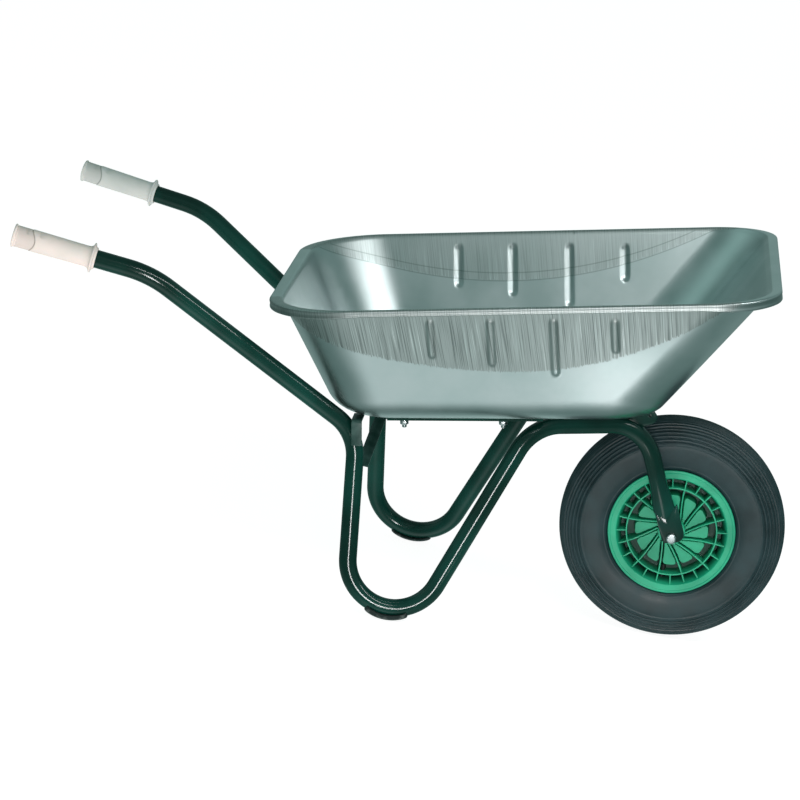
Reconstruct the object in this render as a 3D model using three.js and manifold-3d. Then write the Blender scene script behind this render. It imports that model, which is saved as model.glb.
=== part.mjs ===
// Builder's wheelbarrow: a pressed steel tray on a pair of bent steel tubes, with one
// pneumatic wheel in front and two looped feet behind. Millimetres, +Z up, +X towards
// the wheel, +Y to the left. Every number along X is counted from the wheel's axle, and
// the finished group is then moved so that its origin is under the middle of the barrow.

import * as THREE from 'three';
import { mergeVertices } from 'three/addons/utils/BufferGeometryUtils.js';
import Module from 'manifold-3d';

const wasm = await Module();
wasm.setup();

const AXLE_FROM_MIDDLE = 496.5;
const SIDES = [['left', 1], ['right', -1]];
const GAP = 0.3;
const rad = THREE.MathUtils.degToRad;

// ---- driving dimensions --------------------------------------------------------------

const WHEEL_R = 200;
const TYRE_HALF_WIDTH = 49.5;
const RIM_FLANGE_R = 112.5;
const RIM_HALF_WIDTH = 45;
const HUB_R = 24;
const HUB_HALF_WIDTH = 40.6;
const AXLE_R = 6;
const VALVE_Y = -20;

const TUBE_R = 15.5;
const TUBE_WALL = 1.6;
const SHOE_T = 3;
const SHOE_BOW = 2.6;
const TUBE_SIDES = 12;
const BEND_STEP = rad(13);

// Corners of one side tube's centreline, from the hand grip to the fork's lower end, with
// the radius of the bend at each; the corner below ground belongs to the looped foot.
const TUBE_CORNERS = [
  { at: [-1185.7, 310.3, 554.6], bend: 0 },
  { at: [-954, 293, 531], bend: 170 },
  { at: [-571, 193, 306], bend: 85 },
  { at: [-500, 293, -239], bend: 82.2 },
  { at: [-276, 158, 370.5], bend: 85 },
  { at: [-86, 85, 394], bend: 85 },
  { at: [-3, 79, 203.5], bend: 0 },
];
const FOOT_CORNER = 3;

// The tray's own frame: u runs forward along the tilted rim and w stands up from it. The
// floor is deeper towards the front, by this much for each millimetre of u.
const TRAY_TILT = rad(12.8);
const TRAY_ORIGIN = [-300, 0, 617];
const TRAY_DEPTH = 222;
const FLOOR_MIDDLE_U = -80;
const FLOOR_DEEPENS = 0.0227;
const SHEET = 1.5;

const PLATE_Y = 80;
const PLATE_T = 4;

// ---- materials -----------------------------------------------------------------------

const finish = (color, roughness, metalness) =>
  new THREE.MeshStandardMaterial({ color, roughness, metalness });

const frameGreen = finish('#17463f', 0.3, 0.2);
const galvanised = finish('#a9bbba', 0.45, 0.8);
const zincPlated = finish('#d7dadb', 0.3, 0.9);
const gripRubber = finish('#e6ddd6', 0.75, 0);
const tyreRubber = finish('#2b3436', 0.8, 0);
const tubeRubber = finish('#1c1d1e', 0.7, 0);
const rimPlastic = finish('#1ba47a', 0.45, 0);
const bearingSteel = finish('#9ea3a6', 0.3, 0.9);
const wearSteel = finish('#1d2524', 0.6, 0.3);

// ---- helpers: solids, rings and bars -------------------------------------------------

// The closed geometry with its shared corners merged and its faces turned outwards
function closed(geometry) {
  geometry.deleteAttribute('normal');
  geometry.deleteAttribute('uv');
  const merged = mergeVertices(geometry, 1e-3);
  const at = merged.attributes.position;
  const index = merged.index.array;
  const [a, b, c] = [new THREE.Vector3(), new THREE.Vector3(), new THREE.Vector3()];
  const kept = [];
  let volume = 0;
  for (let i = 0; i < index.length; i += 3) {
    const [i0, i1, i2] = [index[i], index[i + 1], index[i + 2]];
    if (i0 === i1 || i1 === i2 || i2 === i0) continue;
    kept.push(i0, i1, i2);
    a.fromBufferAttribute(at, i0);
    b.fromBufferAttribute(at, i1);
    c.fromBufferAttribute(at, i2);
    volume += a.dot(b.cross(c));
  }
  if (volume < 0) kept.reverse();
  merged.setIndex(kept);
  return merged;
}

// A closed geometry as a manifold, so that it can be joined or cut
function solid(geometry) {
  const merged = closed(geometry);
  return new wasm.Manifold(new wasm.Mesh({
    numProp: 3,
    vertProperties: new Float32Array(merged.attributes.position.array),
    triVerts: new Uint32Array(merged.index.array),
  }));
}

// A manifold as a geometry again
function shaped(manifold) {
  const mesh = manifold.getMesh();
  const geometry = new THREE.BufferGeometry();
  geometry.setAttribute('position', new THREE.BufferAttribute(mesh.vertProperties, 3));
  geometry.setIndex(new THREE.BufferAttribute(mesh.triVerts, 1));
  return geometry;
}

// A round piece about the Y axis from [radius, y] points; an open outline starts and ends
// on the axis, and a ring's outline closes on itself
function turned(points, segments) {
  const ring = points[0][0] > 0 ? [...points, points[0]] : points;
  return closed(new THREE.LatheGeometry(ring.map(([r, y]) => new THREE.Vector2(r, y)), segments));
}

// A plain ring about the Y axis between two radii and two heights
function ringOf(inner, outer, from, to, segments) {
  return turned([[inner, from], [outer, from], [outer, to], [inner, to]], segments);
}

// A plate in the XZ plane from [x, z] corners, its middle at the given y
function plateXZ(corners, y, thickness, holes = []) {
  const outline = corners.map(([x, z]) => new THREE.Vector2(x, z));
  if (THREE.ShapeUtils.isClockWise(outline)) outline.reverse();
  const shape = new THREE.Shape(outline);
  for (const [x, z, r] of holes) {
    shape.holes.push(new THREE.Path().absarc(x, z, r, 0, 2 * Math.PI, true));
  }
  const plate = new THREE.ExtrudeGeometry(shape, {
    depth: thickness, bevelEnabled: false, curveSegments: 8,
  });
  plate.rotateX(Math.PI / 2);
  plate.translate(0, y + thickness / 2, 0);
  return closed(plate);
}

// Moves a geometry made along +Y so that it starts at a point and runs along a direction
function aimed(geometry, start, direction) {
  const turn = new THREE.Quaternion().setFromUnitVectors(new THREE.Vector3(0, 1, 0), direction);
  geometry.applyQuaternion(turn);
  geometry.translate(start.x, start.y, start.z);
  return geometry;
}

// A cylinder between two points, for cutting holes and copes
function rodBetween(from, to, radius, segments = 12) {
  const along = to.clone().sub(from);
  const rod = new THREE.CylinderGeometry(radius, radius, along.length(), segments);
  rod.translate(0, along.length() / 2, 0);
  return aimed(closed(rod), from, along.normalize());
}

// ---- the bent side tube --------------------------------------------------------------

// The round bend at a corner of the centreline: its centre, axis, total turn, and the
// directions in and out
function bendAt(side, corner) {
  const [before, at, after] = [corner - 1, corner, corner + 1].map((i) => {
    const [x, y, z] = TUBE_CORNERS[i].at;
    return new THREE.Vector3(x, side * y, z);
  });
  const radius = TUBE_CORNERS[corner].bend;
  const inward = at.clone().sub(before).normalize();
  const outward = after.clone().sub(at).normalize();
  const turn = inward.angleTo(outward);
  const towards = outward.clone().sub(inward).normalize();
  const centre = at.clone().addScaledVector(towards, radius / Math.cos(turn / 2));
  const axis = inward.clone().cross(outward).normalize();
  const start = at.clone().addScaledVector(inward, -radius * Math.tan(turn / 2)).sub(centre);
  return { centre, axis, turn, inward, start, radius };
}

// Stations, each a point and a tangent, along straight runs joined by round bends
function stations(side) {
  const list = [];
  const end = (from, to, which) => {
    const [[ax, ay, az], [bx, by, bz]] = [TUBE_CORNERS[from].at, TUBE_CORNERS[to].at];
    const a = new THREE.Vector3(ax, side * ay, az);
    const b = new THREE.Vector3(bx, side * by, bz);
    list.push({ p: which ? b : a, t: b.clone().sub(a).normalize() });
  };
  end(0, 1, 0);
  for (let corner = 1; corner < TUBE_CORNERS.length - 1; corner += 1) {
    const { centre, axis, turn, inward, start } = bendAt(side, corner);
    const steps = Math.max(2, Math.ceil(turn / BEND_STEP));
    for (let k = 0; k <= steps; k += 1) {
      const angle = (turn * k) / steps;
      list.push({
        p: centre.clone().add(start.clone().applyAxisAngle(axis, angle)),
        t: inward.clone().applyAxisAngle(axis, angle),
      });
    }
  }
  end(TUBE_CORNERS.length - 2, TUBE_CORNERS.length - 1, 1);
  return list;
}

// A curve through the stations, with exactly one extrusion step between neighbours
class BentLine extends THREE.Curve {
  constructor(list) {
    super();
    this.list = list;
  }

  between(u, key) {
    const place = u * (this.list.length - 1);
    const low = Math.min(Math.floor(place + 1e-9), this.list.length - 2);
    return this.list[low][key].clone().lerp(this.list[low + 1][key], place - low);
  }

  getPoint(u, target = new THREE.Vector3()) {
    return target.copy(this.between(u, 'p'));
  }

  getPointAt(u, target) {
    return this.getPoint(u, target);
  }

  getTangentAt(u, target = new THREE.Vector3()) {
    return target.copy(this.between(u, 't').normalize());
  }
}

// The tube along its whole centreline; without a bore it serves to cut its neighbours
function pipe(side, radius, bore) {
  const list = stations(side);
  const section = new THREE.Shape();
  for (let k = 0; k < TUBE_SIDES; k += 1) {
    const angle = (2 * Math.PI * k) / TUBE_SIDES;
    const point = [radius * Math.cos(angle), radius * Math.sin(angle)];
    if (k === 0) section.moveTo(...point);
    else section.lineTo(...point);
  }
  if (bore > 0) {
    const hole = new THREE.Path();
    for (let k = 0; k < TUBE_SIDES; k += 2) {
      const angle = (-2 * Math.PI * k) / TUBE_SIDES;
      const point = [bore * Math.cos(angle), bore * Math.sin(angle)];
      if (k === 0) hole.moveTo(...point);
      else hole.lineTo(...point);
    }
    section.holes.push(hole);
  }
  return new THREE.ExtrudeGeometry(section, {
    extrudePath: new BentLine(list), steps: list.length - 1, bevelEnabled: false,
  });
}

// Outline of the plate that holds the axle: a V notch takes the tube's pointed end
const AXLE_PLATE = [[-37.6, 239.6], [-16.5, 233.3], [-2.4, 262.5], [22.9, 206.8],
  [14.4, 194.5], [-12.8, 187.2]];

// Everything below the plate's notched upper edge, grown by the gap, is cut off the tube
function frameTube(side) {
  const below = [[-90, 256.5], [-37.6, 239.6 + GAP], [-16.5, 233.3 + 2 * GAP],
    [-2.4 - GAP, 262.5 + GAP], [40, 280], [40, 150], [-90, 150]];
  const cut = solid(plateXZ(below, side * PLATE_Y, 60));
  return shaped(solid(pipe(side, TUBE_R, TUBE_R - TUBE_WALL)).subtract(cut));
}

function axlePlate(side) {
  return plateXZ(AXLE_PLATE, side * PLATE_Y, PLATE_T, [[0, WHEEL_R, AXLE_R + GAP]]);
}

// ---- hand grips and foot shoes -------------------------------------------------------

function handleLine(side) {
  const [x, y, z] = TUBE_CORNERS[0].at;
  const [nx, ny, nz] = TUBE_CORNERS[1].at;
  const start = new THREE.Vector3(x, side * y, z);
  return { start, along: new THREE.Vector3(nx, side * ny, nz).sub(start).normalize() };
}

// A moulded sleeve, closed at the rear, with a hand stop collar in front
function grip(side) {
  const bore = TUBE_R + GAP;
  const { start, along } = handleLine(side);
  const profile = [[0, -5], [18.6, -5], [20, -3.5], [20, -1.5], [18.8, 0], [18.7, 25],
    [17.9, 27], [18.5, 29], [17.8, 126], [24.5, 129], [25.5, 132], [25.5, 136], [24, 138.5],
    [bore, 138.5], [bore, -GAP], [0, -GAP]];
  return aimed(turned(profile, 16), start, along);
}

// A pressed wear plate under the looped foot: a trough that meets the tube at its ends and
// bows below it in the middle, along the lowest part of the loop
function footShoe(side) {
  const { centre, axis, radius } = bendAt(side, FOOT_CORNER);
  const up = new THREE.Vector3(0, 0, 1).addScaledVector(axis, -axis.z).normalize();
  const inner = TUBE_R + 3 * GAP;
  const outer = inner + SHOE_T;
  const spread = rad(58);
  const section = new THREE.Shape();
  section.absarc(0, 0, outer, -Math.PI / 2 - spread, -Math.PI / 2 + spread, false);
  section.absarc(0, 0, inner, -Math.PI / 2 + spread, -Math.PI / 2 - spread, true);
  const reach = radius * Math.sin(rad(29));
  const sag = radius * (1 - Math.cos(rad(29))) + SHOE_BOW;
  const bow = (reach * reach + sag * sag) / (2 * sag);
  const sweep = Math.asin(reach / bow);
  const middle = bow - radius - SHOE_BOW;
  const steps = 6;
  const arc = [];
  for (let k = 0; k <= steps; k += 1) {
    const angle = -Math.PI / 2 - sweep + (2 * sweep * k) / steps;
    arc.push({
      p: new THREE.Vector3(bow * Math.cos(angle), middle + bow * Math.sin(angle), 0),
      t: new THREE.Vector3(-Math.sin(angle), Math.cos(angle), 0),
    });
  }
  const shoe = new THREE.ExtrudeGeometry(section, {
    extrudePath: new BentLine(arc), steps, bevelEnabled: false, curveSegments: 7,
  });
  shoe.applyMatrix4(new THREE.Matrix4().makeBasis(up.clone().cross(axis), up, axis));
  shoe.translate(centre.x, centre.y, centre.z);
  return closed(shoe);
}

// ---- the tray ------------------------------------------------------------------------

// Each wall: where its outer face leaves the rim, its lean, the radius between wall and
// floor, and the width of the flat flange outside it; then the corner radii
const TRAY = {
  front: { rim: 380, lean: rad(42.5), fillet: 62, flange: 17 },
  rear: { rim: 451, lean: rad(20.5), fillet: 72, flange: 20 },
  side: { rim: 325, lean: rad(21), fillet: 72, flange: 10 },
  frontCorner: 100,
  rearCorner: 130,
  floorCorner: 62,
  lipDrop: 12,
};
const WALL_ROWS = 2;
const FILLET_ROWS = 4;
const CORNER_STEPS = 6;

// Distance outwards and height of a wall's outer face at a row: rows run down the
// straight wall and then round the fillet to the floor
function wallAt({ rim, lean, fillet }, row, inset) {
  const out = rim - inset;
  const radius = fillet - inset;
  const base = -TRAY_DEPTH + inset;
  const topOfFillet = base + radius * (1 - Math.sin(lean));
  if (row <= WALL_ROWS) {
    const w = (topOfFillet * row) / WALL_ROWS;
    return [out + w * Math.tan(lean), w];
  }
  const angle = lean + ((Math.PI / 2 - lean) * (row - WALL_ROWS)) / FILLET_ROWS;
  const centre = out + topOfFillet * Math.tan(lean) - radius * Math.cos(lean);
  return [centre + radius * Math.cos(angle), base + radius * (1 - Math.sin(angle))];
}

// One ring of the tray at a row: four straight sides joined by round corners, starting at
// the front; flange is the share of the flange's width and drop lowers the ring
function trayRing(row, inset, flange = 0, drop = 0) {
  const { front, rear, side } = TRAY;
  const [half, sideW] = wallAt(side, row, inset);
  const fade = row / (WALL_ROWS + FILLET_ROWS);
  const quarter = (sign, wall, rimCorner) => {
    const [reach, reachW] = wallAt(wall, row, inset);
    const radius = rimCorner + (TRAY.floorCorner - rimCorner) * fade - inset * (1 - fade);
    const points = [];
    for (let k = 0; k <= CORNER_STEPS; k += 1) {
      const share = k / CORNER_STEPS;
      const angle = share * (Math.PI / 2);
      const ease = share * share * (3 - 2 * share);
      const u = reach + flange * wall.flange - (radius + flange * wall.flange) * (1 - Math.cos(angle));
      const y = half + flange * side.flange
        - (radius + flange * side.flange) * (1 - Math.sin(angle));
      points.push([sign * u, y, reachW + (sideW - reachW) * ease - drop]);
    }
    return sign > 0 ? points : points.reverse();
  };
  const left = [...quarter(1, front, TRAY.frontCorner), ...quarter(-1, rear, TRAY.rearCorner)];
  return [...left, ...left.map(([u, y, w]) => [u, -y, w]).reverse()];
}

// From the tray's tilted frame to the barrow's, deepening towards the front
function fromTray([u, y, w]) {
  const [x0, y0, z0] = TRAY_ORIGIN;
  const deep = w * (1 + ((u - FLOOR_MIDDLE_U) * FLOOR_DEEPENS) / TRAY_DEPTH);
  return [x0 + u * Math.cos(TRAY_TILT) - deep * Math.sin(TRAY_TILT), y0 + y,
    z0 + u * Math.sin(TRAY_TILT) + deep * Math.cos(TRAY_TILT)];
}

// A skin through a list of rings, closed at both ends by a fan about the ring's middle
function lofted(rings) {
  const n = rings[0].length;
  const points = rings.flat();
  const index = [];
  for (let r = 0; r < rings.length - 1; r += 1) {
    for (let k = 0; k < n; k += 1) {
      const a = r * n + k;
      const b = r * n + ((k + 1) % n);
      index.push(a, b, a + n, b, b + n, a + n);
    }
  }
  for (const [ring, flip] of [[0, false], [rings.length - 1, true]]) {
    const middle = rings[ring].reduce(([x, y, z], p) =>
      [x + p[0] / n, y + p[1] / n, z + p[2] / n], [0, 0, 0]);
    points.push(middle);
    for (let k = 0; k < n; k += 1) {
      const a = ring * n + k;
      const b = ring * n + ((k + 1) % n);
      index.push(points.length - 1, ...(flip ? [a, b] : [b, a]));
    }
  }
  const geometry = new THREE.BufferGeometry();
  geometry.setAttribute('position', new THREE.Float32BufferAttribute(points.flat(), 3));
  geometry.setIndex(index);
  return closed(geometry);
}

// Outer skin from the floor up to the rim, out and down round the folded lip, back up
// under it and over the top, then the inner skin down to the floor
function trayShell() {
  const rows = WALL_ROWS + FILLET_ROWS;
  const inside = 1 - SHEET / TRAY.side.flange;
  const rings = [];
  for (let row = rows; row >= 1; row -= 1) rings.push(trayRing(row, 0));
  rings.push(trayRing(0, 0, 0, SHEET));
  rings.push(trayRing(0, 0, inside, SHEET));
  rings.push(trayRing(0, 0, inside, TRAY.lipDrop));
  rings.push(trayRing(0, 0, 1, TRAY.lipDrop));
  rings.push(trayRing(0, 0, 1, 0));
  for (let row = 0; row <= rows; row += 1) rings.push(trayRing(row, SHEET));
  return lofted(rings.map((ring) => ring.map(fromTray)));
}

// ---- what carries the tray -----------------------------------------------------------

const RAIL_Y = 174;
const TRAY_BOLTS = [
  ['rear_left', -497, RAIL_Y], ['rear_right', -497, -RAIL_Y],
  ['middle_left', -330, RAIL_Y], ['middle_right', -330, -RAIL_Y],
  ['front_left', -117, 48], ['front_right', -117, -48],
];
const BOLT_R = 4;
const RAIL_T = 8;
const FLOOR_TILT = TRAY_TILT - Math.atan(FLOOR_DEEPENS);
const floorNormal = new THREE.Vector3(-Math.sin(FLOOR_TILT), 0, Math.cos(FLOOR_TILT));

// The point on the underside of the tray's floor at x and y
function underFloor(x, y) {
  const [x0, , z0] = fromTray([FLOOR_MIDDLE_U, 0, -TRAY_DEPTH]);
  return new THREE.Vector3(x, y, z0 + (x - x0) * Math.tan(FLOOR_TILT));
}

function boltHoles(names) {
  return TRAY_BOLTS.filter(([name]) => names.includes(name)).map(([, x, y]) => {
    const p = underFloor(x, y);
    return solid(rodBetween(p.clone().addScaledVector(floorNormal, -20),
      p.clone().addScaledVector(floorNormal, 20), BOLT_R + GAP));
  });
}

// A bar with a rectangular section lying flat against the underside of the floor
function floorBar(from, to, y, width, thickness) {
  const start = underFloor(from, y).addScaledVector(floorNormal, -GAP - thickness / 2);
  const length = (to - from) / Math.cos(FLOOR_TILT);
  const bar = new THREE.BoxGeometry(length, width, thickness);
  bar.translate(length / 2, 0, 0);
  bar.rotateY(-FLOOR_TILT);
  bar.translate(start.x, start.y, start.z);
  return solid(bar);
}

function trayRail(name, side) {
  let rail = floorBar(-525, -262, side * RAIL_Y, 24, RAIL_T);
  for (const hole of boltHoles([`rear_${name}`, `middle_${name}`])) rail = rail.subtract(hole);
  return shaped(rail);
}

function tray() {
  let shell = solid(trayShell());
  for (const hole of boltHoles(TRAY_BOLTS.map(([name]) => name))) shell = shell.subtract(hole);
  return shaped(shell);
}

const CROSS_PLATE_T = 4;

// Two gusset cheeks over the fork bends, tied by a cross plate under the tray's front
function frontBracket() {
  const cheek = [[-134, 420], [-96, 427.8], [-80, 427], [-66, 410], [-70, 388], [-92, 372],
    [-134, 388]];
  let bracket = floorBar(-138, -90, 0, 176, CROSS_PLATE_T);
  for (const [, side] of SIDES) {
    const plate = solid(plateXZ(cheek, side * 88, PLATE_T, [[-81, 411, 3]]));
    bracket = bracket.add(plate.subtract(solid(pipe(side, TUBE_R + GAP, 0))));
  }
  for (const hole of boltHoles(['front_left', 'front_right'])) bracket = bracket.subtract(hole);
  return shaped(bracket);
}

// An angle plate welded to the outside of the bend, leaning back, its top turned in under
// the tray
function rearBracket(side) {
  const [width, height, leaf, reach] = [18, 44, 4, 48];
  const profile = [[0, -height], [leaf, -height], [leaf, 0], [leaf - reach, 0],
    [leaf - reach, -leaf], [0, -leaf]];
  const outline = profile.map(([y, z]) => new THREE.Vector2(side * y, z));
  const bracket = new THREE.ExtrudeGeometry(new THREE.Shape(outline), {
    depth: width, bevelEnabled: false,
  });
  bracket.applyMatrix4(new THREE.Matrix4().makeBasis(
    new THREE.Vector3(0, 1, 0), new THREE.Vector3(0, 0, 1), new THREE.Vector3(1, 0, 0)));
  bracket.translate(-width / 2, 0, 0);
  bracket.rotateY(rad(-10));
  bracket.translate(-573, side * 214.5, 332);
  return shaped(solid(bracket).subtract(solid(pipe(side, TUBE_R + GAP, 0))));
}

const CROSS_BAR = { x: -547, width: 26, thickness: 4, length: 330 };

function rearCrossBar() {
  const { x, width, thickness, length } = CROSS_BAR;
  return shaped(floorBar(x - width / 2, x + width / 2, 0, length, thickness));
}

// An angle section running from the leg up to the middle of the cross bar, coped to the
// round of the leg at its lower end
function legBrace(side) {
  const from = new THREE.Vector3(-550, side * 190, 245);
  const to = new THREE.Vector3(-540, side * 6, 308);
  const width = 20;
  const leaf = 3;
  const section = new THREE.Shape([[0, 0], [width, 0], [width, leaf], [leaf, leaf],
    [leaf, width], [0, width]].map(([a, b]) => new THREE.Vector2(a - width / 2, b - width / 2)));
  const along = to.clone().sub(from).normalize();
  const bar = new THREE.ExtrudeGeometry(section, {
    depth: from.distanceTo(to), bevelEnabled: false,
  });
  const across = new THREE.Vector3(1, 0, 0).addScaledVector(along, -along.x).normalize();
  bar.applyMatrix4(new THREE.Matrix4().makeBasis(across, along.clone().cross(across), along));
  bar.translate(from.x, from.y, from.z);
  return shaped(solid(bar).subtract(solid(pipe(side, TUBE_R + GAP, 0))));
}

// ---- fasteners -----------------------------------------------------------------------

// A hexagon with a round hole, standing on its lower face along +Y
function hexNut(acrossFlats, hole, height) {
  const shape = new THREE.Shape();
  for (let k = 0; k < 6; k += 1) {
    const angle = (Math.PI / 3) * k;
    const r = acrossFlats / Math.sqrt(3);
    if (k === 0) shape.moveTo(r, 0);
    else shape.lineTo(r * Math.cos(angle), r * Math.sin(angle));
  }
  shape.holes.push(new THREE.Path().absarc(0, 0, hole, 0, 2 * Math.PI, true));
  const nut = new THREE.ExtrudeGeometry(shape, {
    depth: height, bevelEnabled: false, curveSegments: 6,
  });
  nut.rotateX(-Math.PI / 2);
  return closed(nut);
}

// A bolt through floor and bar: a domed head inside the tray, a washer and a nut below
function trayFastener(name, x, y) {
  const down = floorNormal.clone().negate();
  const clamped = name.startsWith('front') ? CROSS_PLATE_T : RAIL_T;
  const top = underFloor(x, y).addScaledVector(floorNormal, SHEET + GAP);
  const below = SHEET + 2 * GAP + clamped + GAP;
  const head = [[0, -3.6], [4, -3.4], [7, -2], [8.5, 0], [BOLT_R, 0], [BOLT_R, below + 14],
    [0, below + 14]];
  const washer = ringOf(BOLT_R + GAP, 8.5, 0, 1.6, 12);
  const nut = hexNut(13, BOLT_R + GAP, 6.5);
  const under = top.clone().addScaledVector(down, below);
  const last = top.clone().addScaledVector(down, below + 1.6 + GAP);
  return [
    [`${name}_tray_bolt`, aimed(turned(head, 12), top, down)],
    [`${name}_tray_washer`, aimed(washer, under, down)],
    [`${name}_tray_nut`, aimed(nut, last, down)],
  ];
}

// ---- axle ----------------------------------------------------------------------------

const AXLE_STACK = {
  sleeve: 41,
  spacer: [41.3, 75.6],
  washer: [75.9, 77.7],
  plateFace: PLATE_Y + PLATE_T / 2,
};

function axleBolt() {
  const face = -(AXLE_STACK.plateFace + GAP);
  return turned([[0, face - 7], [7, face - 7], [8.8, face - 5.4], [8.8, face], [AXLE_R, face],
    [AXLE_R, -face + 13], [0, -face + 13]], 16);
}

function axleNut() {
  const nut = hexNut(18, AXLE_R + GAP, 10);
  nut.translate(0, AXLE_STACK.plateFace + GAP, 0);
  return nut;
}

// ---- wheel ---------------------------------------------------------------------------

const both = (half) => [...half, ...half.slice().reverse().map(([r, y]) => [r, -y])];

function tyre() {
  const outside = [[102.4, 37.6], [112.8, 40.6], [116, 43.5], [134, 48.2], [152, TYRE_HALF_WIDTH],
    [170, 47.2], [184, 41.5], [194, 30.5], [199, 15], [WHEEL_R, 0]];
  const inside = [[193, 0], [190, 18], [178, 35], [155, 42.5], [122, 37], [102.4, 31]];
  const mirrored = (half) => half.map(([r, y]) => [r, -y]);
  const around = [...outside, ...mirrored(outside.slice(0, -1)).reverse(),
    ...mirrored(inside.slice(1)).reverse(), ...inside];
  return turned(around, 44);
}

const TUBE_CENTRE_R = 150;
const TUBE_SECTION_R = 38;

function innerTube() {
  const torus = (radius) => {
    const ring = new THREE.TorusGeometry(TUBE_CENTRE_R, radius, 8, 24);
    ring.rotateX(Math.PI / 2);
    return solid(ring);
  };
  const valveHole = solid(rodBetween(new THREE.Vector3(0, VALVE_Y, -100),
    new THREE.Vector3(0, VALVE_Y, -128), 3));
  return shaped(torus(TUBE_SECTION_R).subtract(torus(TUBE_SECTION_R - 2)).subtract(valveHole));
}

const FIN_COUNT = 12;
const RING_R = [78.4, 80.8];
const FIRST_FIN = rad(5);

// A thin wall standing through the rim, along a line bent from one radius to another
function rimFin(from, to, bow, halfWidth, thickness) {
  const steps = 3;
  const edge = [];
  for (let k = 0; k <= steps; k += 1) {
    const share = k / steps;
    edge.push([from + (to - from) * share, bow * (1 - share) ** 2]);
  }
  const corners = [...edge.map(([r, s]) => [s + thickness / 2, r]),
    ...edge.slice().reverse().map(([r, s]) => [s - thickness / 2, r])];
  return plateXZ(corners, 0, 2 * halfWidth);
}

// One moulding: barrel and flanges for the tyre, hub, web, and the ring and fins between
function rim() {
  const segments = 30;
  const seat = both([[98.5, RIM_HALF_WIDTH], [RIM_FLANGE_R, RIM_HALF_WIDTH],
    [RIM_FLANGE_R, 41.5], [101, 38.5], [93, 22]]);
  const under = both([[97, 40], [89.5, 20]]);
  const barrel = solid(turned([...seat, ...under.slice().reverse()], segments));
  const pocket = 29.8;
  const half = [[HUB_R, HUB_HALF_WIDTH], [HUB_R, 6], [57, 6], [57, 3], [91, 3]];
  const bore = [[12.5, -pocket], [16.3, -pocket], [16.3, -HUB_HALF_WIDTH]];
  const mirrored = bore.slice().reverse().map(([r, y]) => [r, -y]);
  const hub = solid(turned([...both(half), ...bore.reverse(), ...mirrored.reverse()], segments));
  let whole = barrel.add(hub).add(solid(ringOf(RING_R[0], RING_R[1], -42, 42, segments)));
  for (let k = 0; k < FIN_COUNT; k += 1) {
    const fin = rimFin(HUB_R - 1.5, 96, 10, 34, 2.6);
    fin.rotateY(FIRST_FIN + (2 * Math.PI * k) / FIN_COUNT);
    whole = whole.add(solid(fin));
  }
  const valveWay = solid(rodBetween(new THREE.Vector3(0, VALVE_Y, -60),
    new THREE.Vector3(0, VALVE_Y, -104), 6.5));
  return shaped(whole.subtract(valveWay));
}

function valveStem() {
  const stem = turned([[0, 0], [6, 0], [6, 9], [4.2, 13], [4.2, 40], [3, 41], [3, 46], [0, 46]],
    12);
  return aimed(stem, new THREE.Vector3(0, VALVE_Y, -117.5), new THREE.Vector3(0, 0, 1));
}

function valveCap() {
  const cap = turned([[3.3, 0], [4.4, 0], [4.4, 8], [3.2, 9.4], [0, 9.4], [0, 6.6], [3.3, 6.6]]
    .reverse(), 12);
  return aimed(cap, new THREE.Vector3(0, VALVE_Y, -76.2), new THREE.Vector3(0, 0, 1));
}

// ---- assembly ------------------------------------------------------------------------

const barrow = new THREE.Group();
barrow.position.x = AXLE_FROM_MIDDLE;

function place(parent, name, geometry, material) {
  const mesh = new THREE.Mesh(geometry, material);
  mesh.name = name;
  parent.add(mesh);
}

for (const [name, side] of SIDES) {
  place(barrow, `${name}_frame_tube`, frameTube(side), frameGreen);
  place(barrow, `${name}_grip`, grip(side), gripRubber);
  place(barrow, `${name}_foot_shoe`, footShoe(side), wearSteel);
  place(barrow, `${name}_rear_bracket`, rearBracket(side), frameGreen);
  place(barrow, `${name}_leg_brace`, legBrace(side), frameGreen);
  place(barrow, `${name}_tray_rail`, trayRail(name, side), frameGreen);
  place(barrow, `${name}_axle_plate`, axlePlate(side), frameGreen);
}
place(barrow, 'rear_cross_bar', rearCrossBar(), frameGreen);
place(barrow, 'front_bracket', frontBracket(), frameGreen);
place(barrow, 'tray', tray(), galvanised);
for (const [name, x, y] of TRAY_BOLTS) {
  for (const [node, geometry] of trayFastener(name, x, y)) {
    place(barrow, node, geometry, zincPlated);
  }
}

const wheel = new THREE.Group();
wheel.position.z = WHEEL_R;
barrow.add(wheel);
place(wheel, 'axle_bolt', axleBolt(), zincPlated);
place(wheel, 'axle_nut', axleNut(), zincPlated);
place(wheel, 'axle_sleeve', ringOf(AXLE_R + GAP, 9.8, -AXLE_STACK.sleeve, AXLE_STACK.sleeve, 16),
  bearingSteel);
for (const [name, side] of SIDES) {
  const between = ([from, to]) => [Math.min(side * from, side * to),
    Math.max(side * from, side * to)];
  const [spacerLow, spacerHigh] = between(AXLE_STACK.spacer);
  const [washerLow, washerHigh] = between(AXLE_STACK.washer);
  const [bearingLow, bearingHigh] = between([30.1, 40.4]);
  place(wheel, `${name}_axle_spacer`, ringOf(AXLE_R + GAP, 11, spacerLow, spacerHigh, 16),
    zincPlated);
  place(wheel, `${name}_axle_washer`, ringOf(AXLE_R + GAP, 12, washerLow, washerHigh, 16),
    zincPlated);
  place(wheel, `${name}_bearing`, ringOf(10.1, 16, bearingLow, bearingHigh, 20), bearingSteel);
}
place(wheel, 'tyre', tyre(), tyreRubber);
place(wheel, 'inner_tube', innerTube(), tubeRubber);
place(wheel, 'rim', rim(), rimPlastic);
place(wheel, 'valve_stem', valveStem(), tubeRubber);
place(wheel, 'valve_cap', valveCap(), tubeRubber);

export default barrow;
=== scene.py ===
import bpy
import numpy as np
from mathutils import Matrix


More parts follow.
